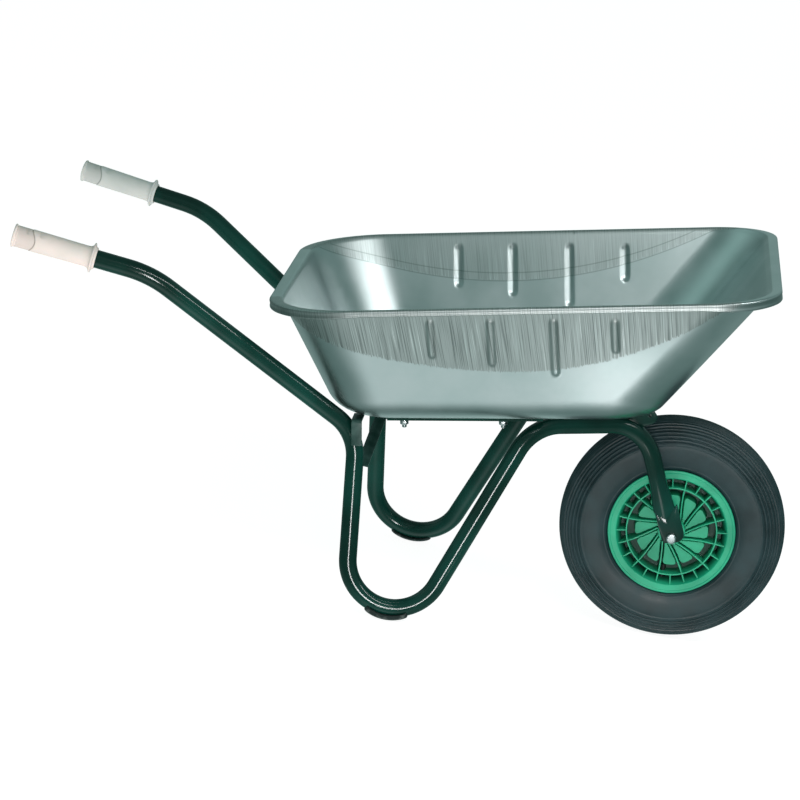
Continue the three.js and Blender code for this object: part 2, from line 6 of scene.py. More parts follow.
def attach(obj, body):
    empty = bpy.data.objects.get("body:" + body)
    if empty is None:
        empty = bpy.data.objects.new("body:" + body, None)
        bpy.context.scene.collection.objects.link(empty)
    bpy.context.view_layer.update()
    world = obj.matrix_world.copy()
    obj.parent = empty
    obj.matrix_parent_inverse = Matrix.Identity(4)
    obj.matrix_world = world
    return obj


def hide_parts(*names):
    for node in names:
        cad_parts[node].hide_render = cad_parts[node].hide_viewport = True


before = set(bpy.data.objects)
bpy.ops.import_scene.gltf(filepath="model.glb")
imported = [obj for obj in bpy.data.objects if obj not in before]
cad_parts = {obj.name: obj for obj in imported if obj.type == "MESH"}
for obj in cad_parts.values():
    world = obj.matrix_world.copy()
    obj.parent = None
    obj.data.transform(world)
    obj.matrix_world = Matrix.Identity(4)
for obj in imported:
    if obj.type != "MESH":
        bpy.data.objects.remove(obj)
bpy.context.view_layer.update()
MM = 0.001


# ---- camera --------------------------------------------------------------------------
# A long lens, a little above the tray's rim, looking across the right side. It is
# turned about its own axis, because the barrow is shown standing on a slope.
CAMERA_AT = np.array([0.2405, -5.493, 1.787])
YAW, PITCH, ROLL = np.radians([2.72, 14.88, 10.8])

ahead = np.array([-np.sin(YAW) * np.cos(PITCH), np.cos(YAW) * np.cos(PITCH), -np.sin(PITCH)])
level = np.array([np.cos(YAW), np.sin(YAW), 0])
above = np.cross(level, ahead)
camera = bpy.data.objects.new("camera", bpy.data.cameras.new("camera"))
camera.data.sensor_width = 36
camera.data.lens = 144.18
columns = [level * np.cos(ROLL) + above * np.sin(ROLL),
           above * np.cos(ROLL) - level * np.sin(ROLL), -ahead, CAMERA_AT]
camera.matrix_world = Matrix([[*(float(c[i]) for c in columns)] for i in range(3)]
                             + [[0, 0, 0, 1]])
bpy.context.scene.collection.objects.link(camera)
bpy.context.scene.camera = camera
bpy.context.scene.view_settings.view_transform = "Standard"


# ---- floor and studio light ----------------------------------------------------------
# A seamless sheet of matt white paper with a glow of its own, so that it stays even.
# The studio is dim and slightly green, with a bright card low in front and one behind;
# two narrow lights, in front and above, draw the lines on the round tubes.
FLOOR_HALF = 40
FLOOR_WHITE = "#aaa3a3"
FLOOR_GLOW = 0.93


def linear(code):
    """Linear RGBA of an sRGB hex colour: c / 12.92 up to 0.04045, and above it
    ((c + 0.055) / 1.055) to the power 2.4."""
    c = np.array([int(code[i:i + 2], 16) for i in (1, 3, 5)]) / 255
    return (*np.where(c <= 0.04045, c / 12.92, ((c + 0.055) / 1.055) ** 2.4), 1.0)


def add(tree, kind, inputs=None, **settings):
    """Adds one node, sets its settings, and sets or links each of its inputs."""
    node = tree.nodes.new("ShaderNode" + kind)
    for name, value in settings.items():
        setattr(node, name, value)
    for name, value in (inputs or {}).items():
        if isinstance(value, bpy.types.NodeSocket):
            tree.links.new(value, node.inputs[name])
        else:
            node.inputs[name].default_value = value
    return node


def fresh_material(name):
    """A new material with one Principled shader, as (tree, shader)."""
    made = bpy.data.materials.new(name)
    made.use_nodes = True
    return made, made.node_tree, made.node_tree.nodes["Principled BSDF"]


white_paper, tree, shader = fresh_material("matt_paper_sheet")
shader.inputs["Base Color"].default_value = linear(FLOOR_WHITE)
shader.inputs["Roughness"].default_value = 0.9
shader.inputs["Specular IOR Level"].default_value = 0.1
shader.inputs["Emission Color"].default_value = linear("#ffffff")
shader.inputs["Emission Strength"].default_value = FLOOR_GLOW

sheet_mesh = bpy.data.meshes.new("floor")
sheet_mesh.from_pydata([(x * FLOOR_HALF, y * FLOOR_HALF, 0)
                        for x, y in ((-1, -1), (1, -1), (1, 1), (-1, 1))], [], [(0, 1, 2, 3)])
sheet_mesh.materials.append(white_paper)
floor = bpy.data.objects.new("floor", sheet_mesh)
floor.visible_glossy = False
bpy.context.scene.collection.objects.link(floor)

world = bpy.data.worlds.new("studio")
bpy.context.scene.world = world
world.use_nodes = True
tree = world.node_tree
way_out = add(tree, "TexCoord").outputs["Generated"]
height = add(tree, "SeparateXYZ", {"Vector": way_out}).outputs["Z"]
share = add(tree, "MapRange", {"Value": height, "From Min": -1.0, "From Max": 1.0})
walls = add(tree, "ValToRGB", {"Fac": share.outputs[0]})
stops = ((0.0, "#66807c"), (0.24, "#768f8b"), (0.36, "#48605c"), (0.55, "#48605c"),
         (0.66, "#6e8b87"), (0.78, "#74908c"), (0.93, "#5a7470"))
while len(walls.color_ramp.elements) < len(stops):
    walls.color_ramp.elements.new(0.5)
for element, (where, code) in zip(walls.color_ramp.elements, stops):
    element.position, element.color = where, linear(code)
light = walls.outputs["Color"]
# each card is its brightness times (direction . middle) to a power, so it has soft edges
for middle, power, tint in (((0.02, -0.56, -0.82), 14, "#e6eded"),
                            ((0.0, 0.99, 0.0), 18, "#93a5a2"),
                            ((0.0, 0.75, -0.66), 16, "#a6b8b5"),
                            ((-0.80, 0.10, 0.60), 18, "#7f9a95")):
    facing = add(tree, "VectorMath", {0: way_out, 1: middle}, operation="DOT_PRODUCT")
    lobe = add(tree, "Math", {0: add(tree, "Math", {0: facing.outputs["Value"], 1: 0.0},
                                     operation="MAXIMUM").outputs[0], 1: float(power)},
               operation="POWER")
    light = add(tree, "Mix", {0: lobe.outputs[0], 6: light, 7: linear(tint)},
                data_type="RGBA", blend_type="ADD").outputs[2]
tree.links.new(light, tree.nodes["Background"].inputs["Color"])

for name, at, aim, size, power in (
        ("front_strip", (0.78, -4.64, 0.56), (-0.03, -0.25, 0.25), (0.52, 1.05), 62),
        ("top_strip", (1.55, -1.7, 2.7), (0.55, 0, 0.35), (3.5, 0.16), 34),
        ("floor_card", (0.45, -0.60, 0.012), (0.45, -0.60, 1), (0.15, 0.13), 0.16)):
    box_light = bpy.data.lights.new(name, "AREA")
    box_light.shape = "RECTANGLE"
    box_light.size, box_light.size_y = size
    box_light.energy = power
    holder = bpy.data.objects.new(name, box_light)
    back = np.array(at) - np.array(aim)
    back /= np.linalg.norm(back)
    if name == "floor_card":
        holder.visible_camera = False
    across = np.cross((0, 1, 0) if name == "floor_card" else (0, 0, 1), back)
    across /= np.linalg.norm(across)
    turn = [across, np.cross(back, across), back, np.array(at)]
    holder.matrix_world = Matrix([[*(float(c[i]) for c in turn)] for i in range(3)]
                                 + [[0, 0, 0, 1]])
    bpy.context.scene.collection.objects.link(holder)


# ---- frame tubes ---------------------------------------------------------------------
# Each side is one 31 mm welded steel tube, bent cold into handle, looped foot and fork,
# dipped in bottle-green stoving enamel. The fork's end is cut to a V for its plate.
TUBE_R = 15.5 * MM
TUBE_WALL = 1.6 * MM
AXLE = np.array([0.4965, 0, 0.2])
TUBE_CORNERS = np.array([[-1185.7, 310.3, 554.6], [-954, 293, 531], [-571, 193, 306],
                         [-500, 293, -239], [-276, 158, 370.5], [-86, 85, 394],
                         [-3, 79, 203.5]]) * MM
TUBE_CORNERS[:, 0] += AXLE[0]
BEND_R = np.array([0, 170, 85, 82.2, 85, 85, 0]) * MM
NOTCH = np.array([[-90, 256.5], [-37.6, 239.9], [-16.5, 233.9], [-2.7, 262.8],
                  [40, 280]]) * MM + [AXLE[0], 0]
PAINT_DARK, PAINT_LIT = "#082922", "#0d4138"
SIDES = (("left", 1), ("right", -1))


def unit(v):
    """Each vector divided by its length."""
    return v / np.linalg.norm(v, axis=-1, keepdims=True)


def spun(v, axis, angles):
    """A vector turned about an axis: v cos a + (axis x v) sin a + axis (axis . v)(1 - cos a)."""
    a = np.asarray(angles)[:, None]
    return (v * np.cos(a) + np.cross(axis, v) * np.sin(a)
            + axis * np.dot(axis, v) * (1 - np.cos(a)))


def bent_line(corners, radii, side, step=np.radians(3)):
    """Straight runs joined by round bends. A bend's centre lies R / cos(turn / 2) from its
    corner along out - in, and its points and the section's side axis turn about in x out."""
    way = unit(np.diff(corners, axis=0))
    line, sides, ways = [corners[:1]], [side[None]], [way[:1]]
    for i in range(1, len(corners) - 1):
        before, after = way[i - 1], way[i]
        turn = np.arccos(before @ after)
        axis = unit(np.cross(before, after))
        centre = corners[i] + unit(after - before) * radii[i] / np.cos(turn / 2)
        start = corners[i] - before * radii[i] * np.tan(turn / 2) - centre
        angles = np.linspace(0, turn, max(4, int(np.ceil(turn / step))))
        line.append(centre + spun(start, axis, angles))
        sides.append(spun(sides[-1][-1], axis, angles))
        ways.append(spun(before, axis, angles))
    line.append(corners[-1:])
    sides.append(sides[-1][-1:])
    ways.append(way[-1:])
    return np.vstack(line), np.vstack(sides), np.vstack(ways)


def carried(section, line, across, up):
    """A section of [across, up] points at each station: line + across s0 + up s1."""
    return (line[:, None] + across[:, None] * section[..., :1] + up[:, None] * section[..., 1:])


def circle(radius, count):
    """Points r (cos a, sin a) with a at the middle of count equal steps."""
    a = (np.arange(count) + 0.5) * 2 * np.pi / count
    return radius * np.stack([np.cos(a), np.sin(a)], -1)


def skin(rows, ends="strip"):
    """A grid of points, its columns closed on themselves, as (points, quads, triangles).
    Ends: ring joins the last row to the first, pole closes each end row with a fan round
    its middle, strip joins point k of the end row to point K - 1 - k. It faces outwards,
    by the sign of the sum of p0 . (p1 x p2)."""
    n, k = rows.shape[:2]
    index = np.arange(n * k).reshape(n, k)
    after = np.roll(index, -1, 1)
    if ends == "ring":
        quads = np.stack([index, after, np.roll(after, -1, 0), np.roll(index, -1, 0)], -1)
    else:
        quads = np.stack([index[:-1], after[:-1], after[1:], index[1:]], -1)
    quads = quads.reshape(-1, 4)
    points, triangles = rows.reshape(-1, 3), np.zeros((0, 3), int)
    if ends == "pole":
        points = np.vstack([points, rows[0].mean(0), rows[-1].mean(0)])
        triangles = np.vstack([np.stack([after[0], index[0], np.full(k, n * k)], 1),
                               np.stack([index[-1], after[-1], np.full(k, n * k + 1)], 1)])
    elif ends == "strip":
        half = np.arange(k // 2 - 1)
        caps = [np.stack([row[half], row[half + 1], row[k - 2 - half], row[k - 1 - half]], 1)
                for row in (index[0], index[-1])]
        quads = np.vstack([quads, caps[0][:, ::-1], caps[1]])
    split = np.vstack([quads[:, :3], quads[:, [0, 2, 3]], triangles])
    a, b, c = (points[split[:, i]] - points[0] for i in range(3))
    if np.einsum("ij,ij->", a, np.cross(b, c)) < 0:
        quads, triangles = quads[:, ::-1], triangles[:, ::-1]
    return points, quads, triangles


def piece(name, skins, material, body, slot, stands_for=(), sharp=32, **marks):
    """One mesh object at the origin from a list of skins, smooth except at edges sharper
    than so many degrees; marks are numbers kept at its points for the material."""
    starts = np.cumsum([0] + [len(s[0]) for s in skins])
    faces = sum([(s[1] + o).tolist() + (s[2] + o).tolist() for s, o in zip(skins, starts)], [])
    mesh = bpy.data.meshes.new(name)
    mesh.from_pydata(np.vstack([s[0] for s in skins]).tolist(), [], faces)
    for mark, values in marks.items():
        mesh.attributes.new(mark, "FLOAT", "POINT").data.foreach_set(
            "value", np.asarray(values, np.float32).ravel())
    mesh.shade_smooth()
    mesh.set_sharp_from_angle(angle=np.radians(sharp))
    mesh.materials.append(material)
    made = bpy.data.objects.new(name, mesh)
    bpy.context.scene.collection.objects.link(made)
    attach(made, body)
    if stands_for:
        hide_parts(*stands_for)
    return made


def mapped(tree, scale_mm, stretch=(1, 1, 1)):
    """Object coordinates divided by the size, in mm, of what they pattern."""
    spot = add(tree, "TexCoord")
    return add(tree, "Mapping", {"Vector": spot.outputs["Object"],
                                 "Scale": [1000 / scale_mm * s for s in stretch]}).outputs[0]


# Stoving enamel: a dark green film about 60 microns thick, flowed out by heat. It has a
# hard narrow shine, a few nibs of dust under the film and a greener bloom in places.
enamel, tree, shader = fresh_material("bottle_green_stoving_enamel")
bloom = add(tree, "TexNoise", {"Vector": mapped(tree, 140), "Scale": 1.0, "Detail": 3.0})
tone = add(tree, "MapRange", {"Value": bloom.outputs[0], "From Min": 0.4, "From Max": 0.68})
shade = add(tree, "Mix", {0: tone.outputs[0], 6: linear(PAINT_DARK), 7: linear(PAINT_LIT)},
            data_type="RGBA")
tree.links.new(shade.outputs[2], shader.inputs["Base Color"])
haze = add(tree, "TexNoise", {"Vector": mapped(tree, 30), "Scale": 1.0, "Detail": 4.0})
rough = add(tree, "MapRange", {"Value": haze.outputs[0], "To Min": 0.13, "To Max": 0.19})
tree.links.new(rough.outputs[0], shader.inputs["Roughness"])
shader.inputs["Specular IOR Level"].default_value = 0.45
nib = add(tree, "TexVoronoi", {"Vector": mapped(tree, 26), "Scale": 1.0})
nib_top = add(tree, "MapRange", {"Value": nib.outputs["Distance"], "From Min": 0.05,
                                 "From Max": 0.0})
film = add(tree, "Bump", {"Height": nib_top.outputs[0], "Strength": 0.2, "Distance": 0.0003})
tree.links.new(film.outputs[0], shader.inputs["Normal"])

for name, side in SIDES:
    corners = TUBE_CORNERS * [1, side, 1]
    first_way = unit(corners[1] - corners[0])
    first_side = unit(np.cross(first_way, [0, 0, 1]))
    line, across, way = bent_line(corners, BEND_R, first_side)
    tube_rows = carried(circle(TUBE_R, 48), line[:-1], across[:-1], np.cross(way, across)[:-1])
    bore_last = carried(circle(TUBE_R - TUBE_WALL, 48), line[-2:-1], across[-2:-1],
                        np.cross(way, across)[-2:-1])[0]
    wide = unit(np.cross([0, 1.0, 0], way[-1]))
    flat_from = np.linalg.norm(corners[-1] - line[-2]) - 0.105

    def pressed(ring, run):
        """A ring moved down the last run by s, and pressed flatter near its end: its
        offset along the plate grows by 0.24 and across it shrinks by 0.14, eased in."""
        at = ring + run * way[-1]
        ease = np.clip((run - flat_from) / 0.06, 0, 1)
        ease = ease * ease * (3 - 2 * ease)
        off = at - (line[-2] + run * way[-1])
        along = (off @ wide)[..., None] * wide
        return at + ease * (0.24 * along - 0.14 * (off - along))

    def notched(ring):
        """Each line of the tube followed down to the V: the first s where z(s) falls
        below the V's outline at x(s)."""
        run = np.linspace(0, 0.3, 1500)[:, None, None]
        reach = pressed(ring, run)
        last = np.argmax(reach[..., 2] - np.interp(reach[..., 0], *NOTCH.T) < 0, axis=0)
        return run[last, 0]

    down = notched(tube_rows[-1])
    bore_down = notched(bore_last)
    outside = [pressed(tube_rows[-1], down * share) for share in np.linspace(0, 1, 13)[1:]]
    bore = [pressed(bore_last, bore_down * share) for share in (1, 0.9, 0.8)]
    tube_rows = np.vstack([tube_rows, np.array(outside), np.array(bore)])
    piece(name + "_tube", [skin(tube_rows)], enamel, "frame", "frame_paint",
          [name + "_frame_tube"])


# ---- hand grips ----------------------------------------------------------------------
# Each grip is one soft PVC moulding pushed over the handle: a rolled rear rim, a palm
# pad behind a shallow groove, a plain sleeve, and a thin cone-backed stop in front.
GRIP_LINE = np.array([[-5, 17.6], [-4.4, 19.4], [-3.2, 20.2], [-1.9, 20.0], [-0.8, 18.6],
                      [0.2, 18.0], [1.4, 18.6], [4, 18.8], [20, 18.8], [40, 18.7], [95, 18.1],
                      [109.5, 18.0], [110.5, 18.5], [111.5, 18.0], [122, 18.0], [126.5, 18.7],
                      [129.4, 20.6], [130.7, 23.8], [131.3, 25.1], [132.3, 25.5],
                      [133.4, 25.2], [134.1, 23.9], [134.8, 21], [136.5, 19.2],
                      [138.5, 18.3], [138.5, 15.9]]) * MM
GRIP_ROUND = 72
GROOVE_AT, GROOVE_SWING, GROOVE_DEEP, GROOVE_HALF = 25 * MM, 9 * MM, 1.1 * MM, 0.8 * MM
PAD_DEEP = 0.6 * MM


def moulded_pvc(name, base, warm, rubbed):
    """Plasticised PVC with a matt mould grain: a soft broad shine, cloudy tone and
    a few rubbed marks; the grain is 0.4 mm wide and is drawn at 1.5 mm."""
    made, tree, shader = fresh_material(name)
    cloud = add(tree, "TexNoise", {"Vector": mapped(tree, 45), "Scale": 1.0, "Detail": 4.0})
    share = add(tree, "MapRange", {"Value": cloud.outputs[0], "From Min": 0.35, "From Max": 0.7})
    tint = add(tree, "Mix", {0: share.outputs[0], 6: linear(base), 7: linear(warm)},
               data_type="RGBA")
    # the palm pad is tinted a little towards the rubbed colour, and its groove, which has
    # gathered dirt, strongly
    pad = add(tree, "Attribute", attribute_name="pad")
    pad_tint = add(tree, "Mix", {0: pad.outputs["Fac"], 6: tint.outputs[2], 7: linear(rubbed)},
                   data_type="RGBA")
    tree.links.new(pad_tint.outputs[2], shader.inputs["Base Color"])
    rub = add(tree, "MapRange", {"Value": cloud.outputs[0], "To Min": 0.42, "To Max": 0.62})
    tree.links.new(rub.outputs[0], shader.inputs["Roughness"])
    shader.inputs["Subsurface Weight"].default_value = 0.15
    shader.inputs["Subsurface Radius"].default_value = (0.004, 0.003, 0.002)
    shader.inputs["Specular IOR Level"].default_value = 0.4
    grain = add(tree, "TexNoise", {"Vector": mapped(tree, 1.5), "Scale": 1.0})
    bump = add(tree, "Bump", {"Height": grain.outputs[0], "Strength": 0.12,
                              "Distance": 0.0003})
    tree.links.new(bump.outputs[0], shader.inputs["Normal"])
    return made


def smooth(x):
    """3x^2 - 2x^3 between 0 and 1."""
    x = np.clip(x, 0, 1)
    return x * x * (3 - 2 * x)


def flowing(points, steps):
    """A curve through the points: on each span the Catmull-Rom cubic of its four
    neighbours, sampled at so many steps."""
    p = np.vstack([2 * points[:1] - points[1:2], points, 2 * points[-1:] - points[-2:-1]])
    t = np.linspace(0, 1, steps, endpoint=False)[None, :, None]
    a, b, c, d = (p[i:len(p) - 3 + i, None] for i in range(4))
    curve = 0.5 * (2 * b + (c - a) * t + (2 * a - 5 * b + 4 * c - d) * t ** 2
                   + (3 * b - a - 3 * c + d) * t ** 3)
    return np.vstack([curve.reshape(-1, points.shape[1]), points[-1:]])


# painted shade: the left grip, on the far side, is the same moulding as the right but is given
# greyer and darker colours
for name, side, base, warm, rubbed in (("left", 1, "#cfd2cd", "#dcdcd8", "#7b827e"),
                                       ("right", -1, "#e9ded6", "#f4e3dc", "#9a8c83")):
    corners = TUBE_CORNERS * [1, side, 1]
    way = unit(corners[1] - corners[0])
    across = unit(np.cross(way, [0, 0, 1]))
    up = np.cross(across, way)
    a = np.arange(GRIP_ROUND) * 2 * np.pi / GRIP_ROUND
    fine = flowing(GRIP_LINE[:-1], 4)
    grooved = (fine[:, 0] > 20 * MM) & (fine[:, 0] < 40 * MM)
    along = np.sort(np.concatenate([fine[~grooved, 0], np.linspace(20, 40, 42) * MM]))
    radius = np.interp(along, *fine.T)
    groove_at = GROOVE_AT + GROOVE_SWING * np.cos(a) ** 2
    beyond = along[:, None] - groove_at
    pad = smooth(-beyond / (1.2 * MM)) * smooth((along[:, None] - 1.5 * MM) / (1.5 * MM))
    swell = (radius[:, None] - PAD_DEEP * pad
             - GROOVE_DEEP * np.exp(-(beyond / GROOVE_HALF) ** 2))
    deep_ring = np.full((1, GRIP_ROUND), 15.9 * MM)
    swell = np.vstack([swell, deep_ring, deep_ring])
    along = np.append(along, [along[-1], along[-1] - 0.03])[:, None, None]
    rim = across * np.cos(a)[:, None] + up * np.sin(a)[:, None]
    ring = corners[0] + along * way + swell[..., None] * rim
    pad = np.maximum(0.22 * pad, 0.9 * np.exp(-(beyond / (1.1 * MM)) ** 2))
    pad = np.vstack([pad, deep_ring * 0, deep_ring * 0])
    piece(name + "_hand_grip", [skin(ring, "pole")],
          moulded_pvc("soft_pvc_grip_" + name, base, warm, rubbed), "frame", "grip",
          [name + "_grip"], sharp=50, pad=np.append(pad, [0, 0]))


# ---- foot shoes ----------------------------------------------------------------------
# A wear plate pressed from 3 mm steel is welded under each looped foot. It hugs the
# tube at both ends and bows below it in the middle, and its paint is scuffed away.
FOOT = 3
SHOE_SPREAD, SHOE_REACH = np.radians([58, 21])
SHOE_IN, SHOE_OUT, SHOE_BOW = 16.4 * MM, 19.4 * MM, 2.6 * MM

wear_steel, tree, shader = fresh_material("scuffed_mild_steel_plate")
wear = add(tree, "TexNoise", {"Vector": mapped(tree, 12), "Scale": 1.0, "Detail": 5.0})
bare = add(tree, "MapRange", {"Value": wear.outputs[0], "From Min": 0.5, "From Max": 0.62})
coat = add(tree, "Mix", {0: bare.outputs[0], 6: linear("#141f1e"), 7: linear("#4b5350")},
           data_type="RGBA")
tree.links.new(coat.outputs[2], shader.inputs["Base Color"])
dull = add(tree, "MapRange", {"Value": wear.outputs[0], "To Min": 0.35, "To Max": 0.7})
tree.links.new(dull.outputs[0], shader.inputs["Roughness"])
scuff = add(tree, "Bump", {"Height": wear.outputs[0], "Strength": 0.3, "Distance": 0.0005})
tree.links.new(scuff.outputs[0], shader.inputs["Normal"])

for name, side in SIDES:
    before, at, after = TUBE_CORNERS[FOOT - 1:FOOT + 2] * [1, side, 1]
    into, out = unit(at - before), unit(after - at)
    turn = np.arccos(into @ out)
    centre = at + unit(out - into) * BEND_R[FOOT] / np.cos(turn / 2)
    axis = unit(np.cross(into, out))
    up = unit(np.array([0, 0, 1]) - axis * axis[2])
    fore = np.cross(up, axis)
    reach = BEND_R[FOOT] * np.sin(SHOE_REACH)
    sag = BEND_R[FOOT] * (1 - np.cos(SHOE_REACH)) + SHOE_BOW
    bow = (reach ** 2 + sag ** 2) / (2 * sag)
    sweep = np.linspace(-1, 1, 41) * np.arcsin(reach / bow)
    middle = bow - BEND_R[FOOT] - SHOE_BOW
    line = centre + (bow * np.sin(sweep))[:, None] * fore \
        + (middle - bow * np.cos(sweep))[:, None] * up
    down = np.sin(sweep)[:, None] * fore - np.cos(sweep)[:, None] * up
    ease = np.sqrt(np.clip(1 - np.abs(np.linspace(-1, 1, 41)) ** 8, 0, 1))
    angle = np.linspace(-1, 1, 24) * SHOE_SPREAD
    arc = np.stack([np.sin(angle), np.cos(angle)], -1)
    thick = SHOE_IN + (SHOE_OUT - SHOE_IN) * (0.15 + 0.85 * ease)
    section = np.concatenate([thick[:, None, None] * arc,
                              np.full((41, 1, 1), SHOE_IN) * arc[::-1]], 1)
    piece(name + "_wear_shoe", [skin(carried(section, line, np.tile(axis, (41, 1)), down))],
          wear_steel, "frame", "shoe_steel", [name + "_foot_shoe"])


# ---- brackets, braces, rails and plates ----------------------------------------------
# The small steelwork is cut from flat bar, angle and plate, welded to the tubes and
# painted with them. On the bent brackets and angle braces the rolled scale leaves the
# enamel thinner and duller than on the tubes; the rails and plates share the tubes'
# enamel. Every cut edge is broken by about a millimetre under it.
satin, tree, shader = fresh_material("satin_green_enamel_on_flat_bar")
thin = add(tree, "TexNoise", {"Vector": mapped(tree, 18), "Scale": 1.0, "Detail": 4.0})
worn = add(tree, "MapRange", {"Value": thin.outputs[0], "From Min": 0.38, "From Max": 0.66})
cover = add(tree, "Mix", {0: worn.outputs[0], 6: linear("#1c3d37"), 7: linear("#36544e")},
            data_type="RGBA")
tree.links.new(cover.outputs[2], shader.inputs["Base Color"])
matt = add(tree, "MapRange", {"Value": thin.outputs[0], "To Min": 0.28, "To Max": 0.46})
tree.links.new(matt.outputs[0], shader.inputs["Roughness"])
sagged = add(tree, "Bump", {"Height": thin.outputs[0], "Strength": 0.15, "Distance": 0.0003})
tree.links.new(sagged.outputs[0], shader.inputs["Normal"])

FLOOR_TILT = np.radians(12.8) - np.arctan(0.0227)
FLOOR_POINT = np.array([-328.8 + 496.5, 0, 382.8]) * MM
floor_way = np.array([np.cos(FLOOR_TILT), 0, np.sin(FLOOR_TILT)])
floor_up = np.array([-np.sin(FLOOR_TILT), 0, np.cos(FLOOR_TILT)])
LEFT = np.array([0, 1.0, 0])


def rounded(corners, cut, steps=5, closed=True):
    """A polygon with each corner P replaced by (1-t)^2 A + 2t(1-t) P + t^2 B, where A and
    B lie a cut's length from P along its two edges, but never past 0.45 of an edge."""
    corners = np.asarray(corners, float)
    back, fore = np.roll(corners, 1, 0) - corners, np.roll(corners, -1, 0) - corners
    t = np.linspace(0, 1, steps)[None, :, None]
    lengths = [np.linalg.norm(e, axis=1) for e in (back, fore)]
    cut = np.broadcast_to(cut, len(corners))
    a, b = (corners + unit(e) * np.minimum(cut, 0.45 * n)[:, None]
            for e, n in zip((back, fore), lengths))
    curve = (1 - t) ** 2 * a[:, None] + 2 * t * (1 - t) * corners[:, None] + t ** 2 * b[:, None]
    if closed:
        return curve.reshape(-1, corners.shape[1])
    return np.vstack([corners[:1], curve[1:-1].reshape(-1, corners.shape[1]), corners[-1:]])


def flat_plate(outline, thickness, at, across, up, hole=None, edge=0.8 * MM):
    """A plate as rings about its outline: the hole or middle, the face, the broken edge,
    the side, and the same again behind. A point is at + across a + up b + normal c."""
    outline = np.asarray(outline)
    middle = outline.mean(0) if hole is None else np.array(hole[:2])
    spoke = outline - middle
    length = np.linalg.norm(spoke, axis=1, keepdims=True)
    inset = outline - unit(spoke) * edge
    start = (middle + unit(spoke) * (hole[2] if hole else 2e-4))
    half = thickness / 2
    rings = [(start, half), (start + (inset - start) * 0.5, half), (inset, half),
             (outline - unit(spoke) * edge * 0.3, half - edge * 0.3),
             (outline, half - edge), (outline, edge - half),
             (outline - unit(spoke) * edge * 0.3, edge * 0.3 - half), (inset, -half),
             (start + (inset - start) * 0.5, -half), (start, -half)]
    normal = np.cross(across, up)
    rows = np.array([at + ring[:, :1] * across + ring[:, 1:] * up + c * normal
                     for ring, c in rings])
    return skin(rows, "ring" if hole else "pole")


def flat_bar(width, thickness, line, across, up, edge=0.7 * MM):
    """A rounded rectangle, across by up, carried along a line."""
    w, t = width / 2, thickness / 2
    corner = np.array([[-w, -t], [w, -t], [w, t], [-w, t]])
    section = np.roll(rounded(corner, edge, 4), -2, 0)
    stations = np.asarray(line, float)
    return skin(carried(section, stations, np.broadcast_to(across, stations.shape),
                        np.broadcast_to(up, stations.shape)))


def under_floor(x, y, depth=0.0):
    """The point below the tray's flat bottom at x and y, so far down its normal."""
    rise = (x - FLOOR_POINT[0]) * np.tan(FLOOR_TILT)
    return np.array([x, y, FLOOR_POINT[2] + rise]) - depth * floor_up


for name, side in SIDES:
    rail = [under_floor(x + 0.4965, side * 0.174, 0.0043) for x in (-0.525, -0.262)]
    piece(name + "_rail", [flat_bar(0.024, 0.008, rail, LEFT, floor_up)], enamel, "frame",
          "frame_paint", [name + "_tray_rail"])

    # flat bar with its top turned in under the tray, leaning back ten degrees
    lean = np.radians(10)
    stand = np.array([np.sin(-lean), 0, np.cos(lean)])
    foot_at = np.array([-0.573 + 0.4965, side * 0.2145, 0.332])
    into = np.array([0, -side, 0.0])
    bend = np.radians(np.linspace(0, 90, 8))
    turn_in = [foot_at - stand * 0.006 + into * 0.006 * (1 - np.cos(b))
               + stand * 0.006 * np.sin(b) for b in bend]
    line = np.array([foot_at - stand * 0.044, foot_at - stand * 0.02, *turn_in,
                     foot_at + into * 0.046])
    thick_way = np.array([*[into] * 2, *[into * np.cos(b) - stand * np.sin(b) for b in bend],
                          -stand])
    fore = np.cross(stand, LEFT)
    leaf = flat_bar(0.018, 0.004, line - side * LEFT * -0.002, fore, thick_way)
    piece(name + "_bent_bracket", [leaf], satin, "frame", "frame_paint",
          [name + "_rear_bracket"])

    # 20 mm angle from the leg up to the middle of the cross bar
    start = np.array([-0.550 + 0.4965, side * 0.190, 0.245])
    end = np.array([-0.540 + 0.4965, side * 0.006, 0.308])
    along = unit(end - start)
    wide = unit(np.array([1.0, 0, 0]) - along * along[0])
    deep = np.cross(along, wide)
    legs = np.array([[20, 0], [0, 0], [0, 20], [3, 20], [3, 3], [20, 3]]) * MM - 0.01
    legs = np.roll(rounded(legs, 0.7 * MM, 4), -2, 0)
    reach = np.array([start - along * 0.006, start + (end - start) * 0.5, end])
    piece(name + "_angle_brace", [skin(carried(legs, reach, np.tile(wide, (3, 1)),
                                               np.tile(deep, (3, 1))))],
          satin, "frame", "frame_paint", [name + "_leg_brace"])

    # the axle plate, with its V-shaped notch welded round the fork's pointed end
    notch = np.array([[-37.6, 239.6], [-16.5, 233.3], [-2.4, 262.5], [22.9, 206.8],
                      [14.4, 194.5], [-12.8, 187.2]]) * MM + [AXLE[0], 0]
    outline = rounded(notch, np.array([3, 3, 1.5, 9, 6, 7]) * MM)
    piece(name + "_drop_plate",
          [flat_plate(outline, 0.004, np.array([0, side * 0.08, 0]), np.array([1.0, 0, 0]),
                      np.array([0, 0, 1.0]), (AXLE[0], AXLE[2], 0.0063))],
          enamel, "frame", "frame_paint", [name + "_axle_plate"])

bar_at = [under_floor(-0.547 + 0.4965, y, 0.0023) for y in (-0.165, 0.165)]
piece("cross_bar", [flat_bar(0.026, 0.004, bar_at, floor_way, floor_up)], enamel, "frame",
      "frame_paint", ["rear_cross_bar"])

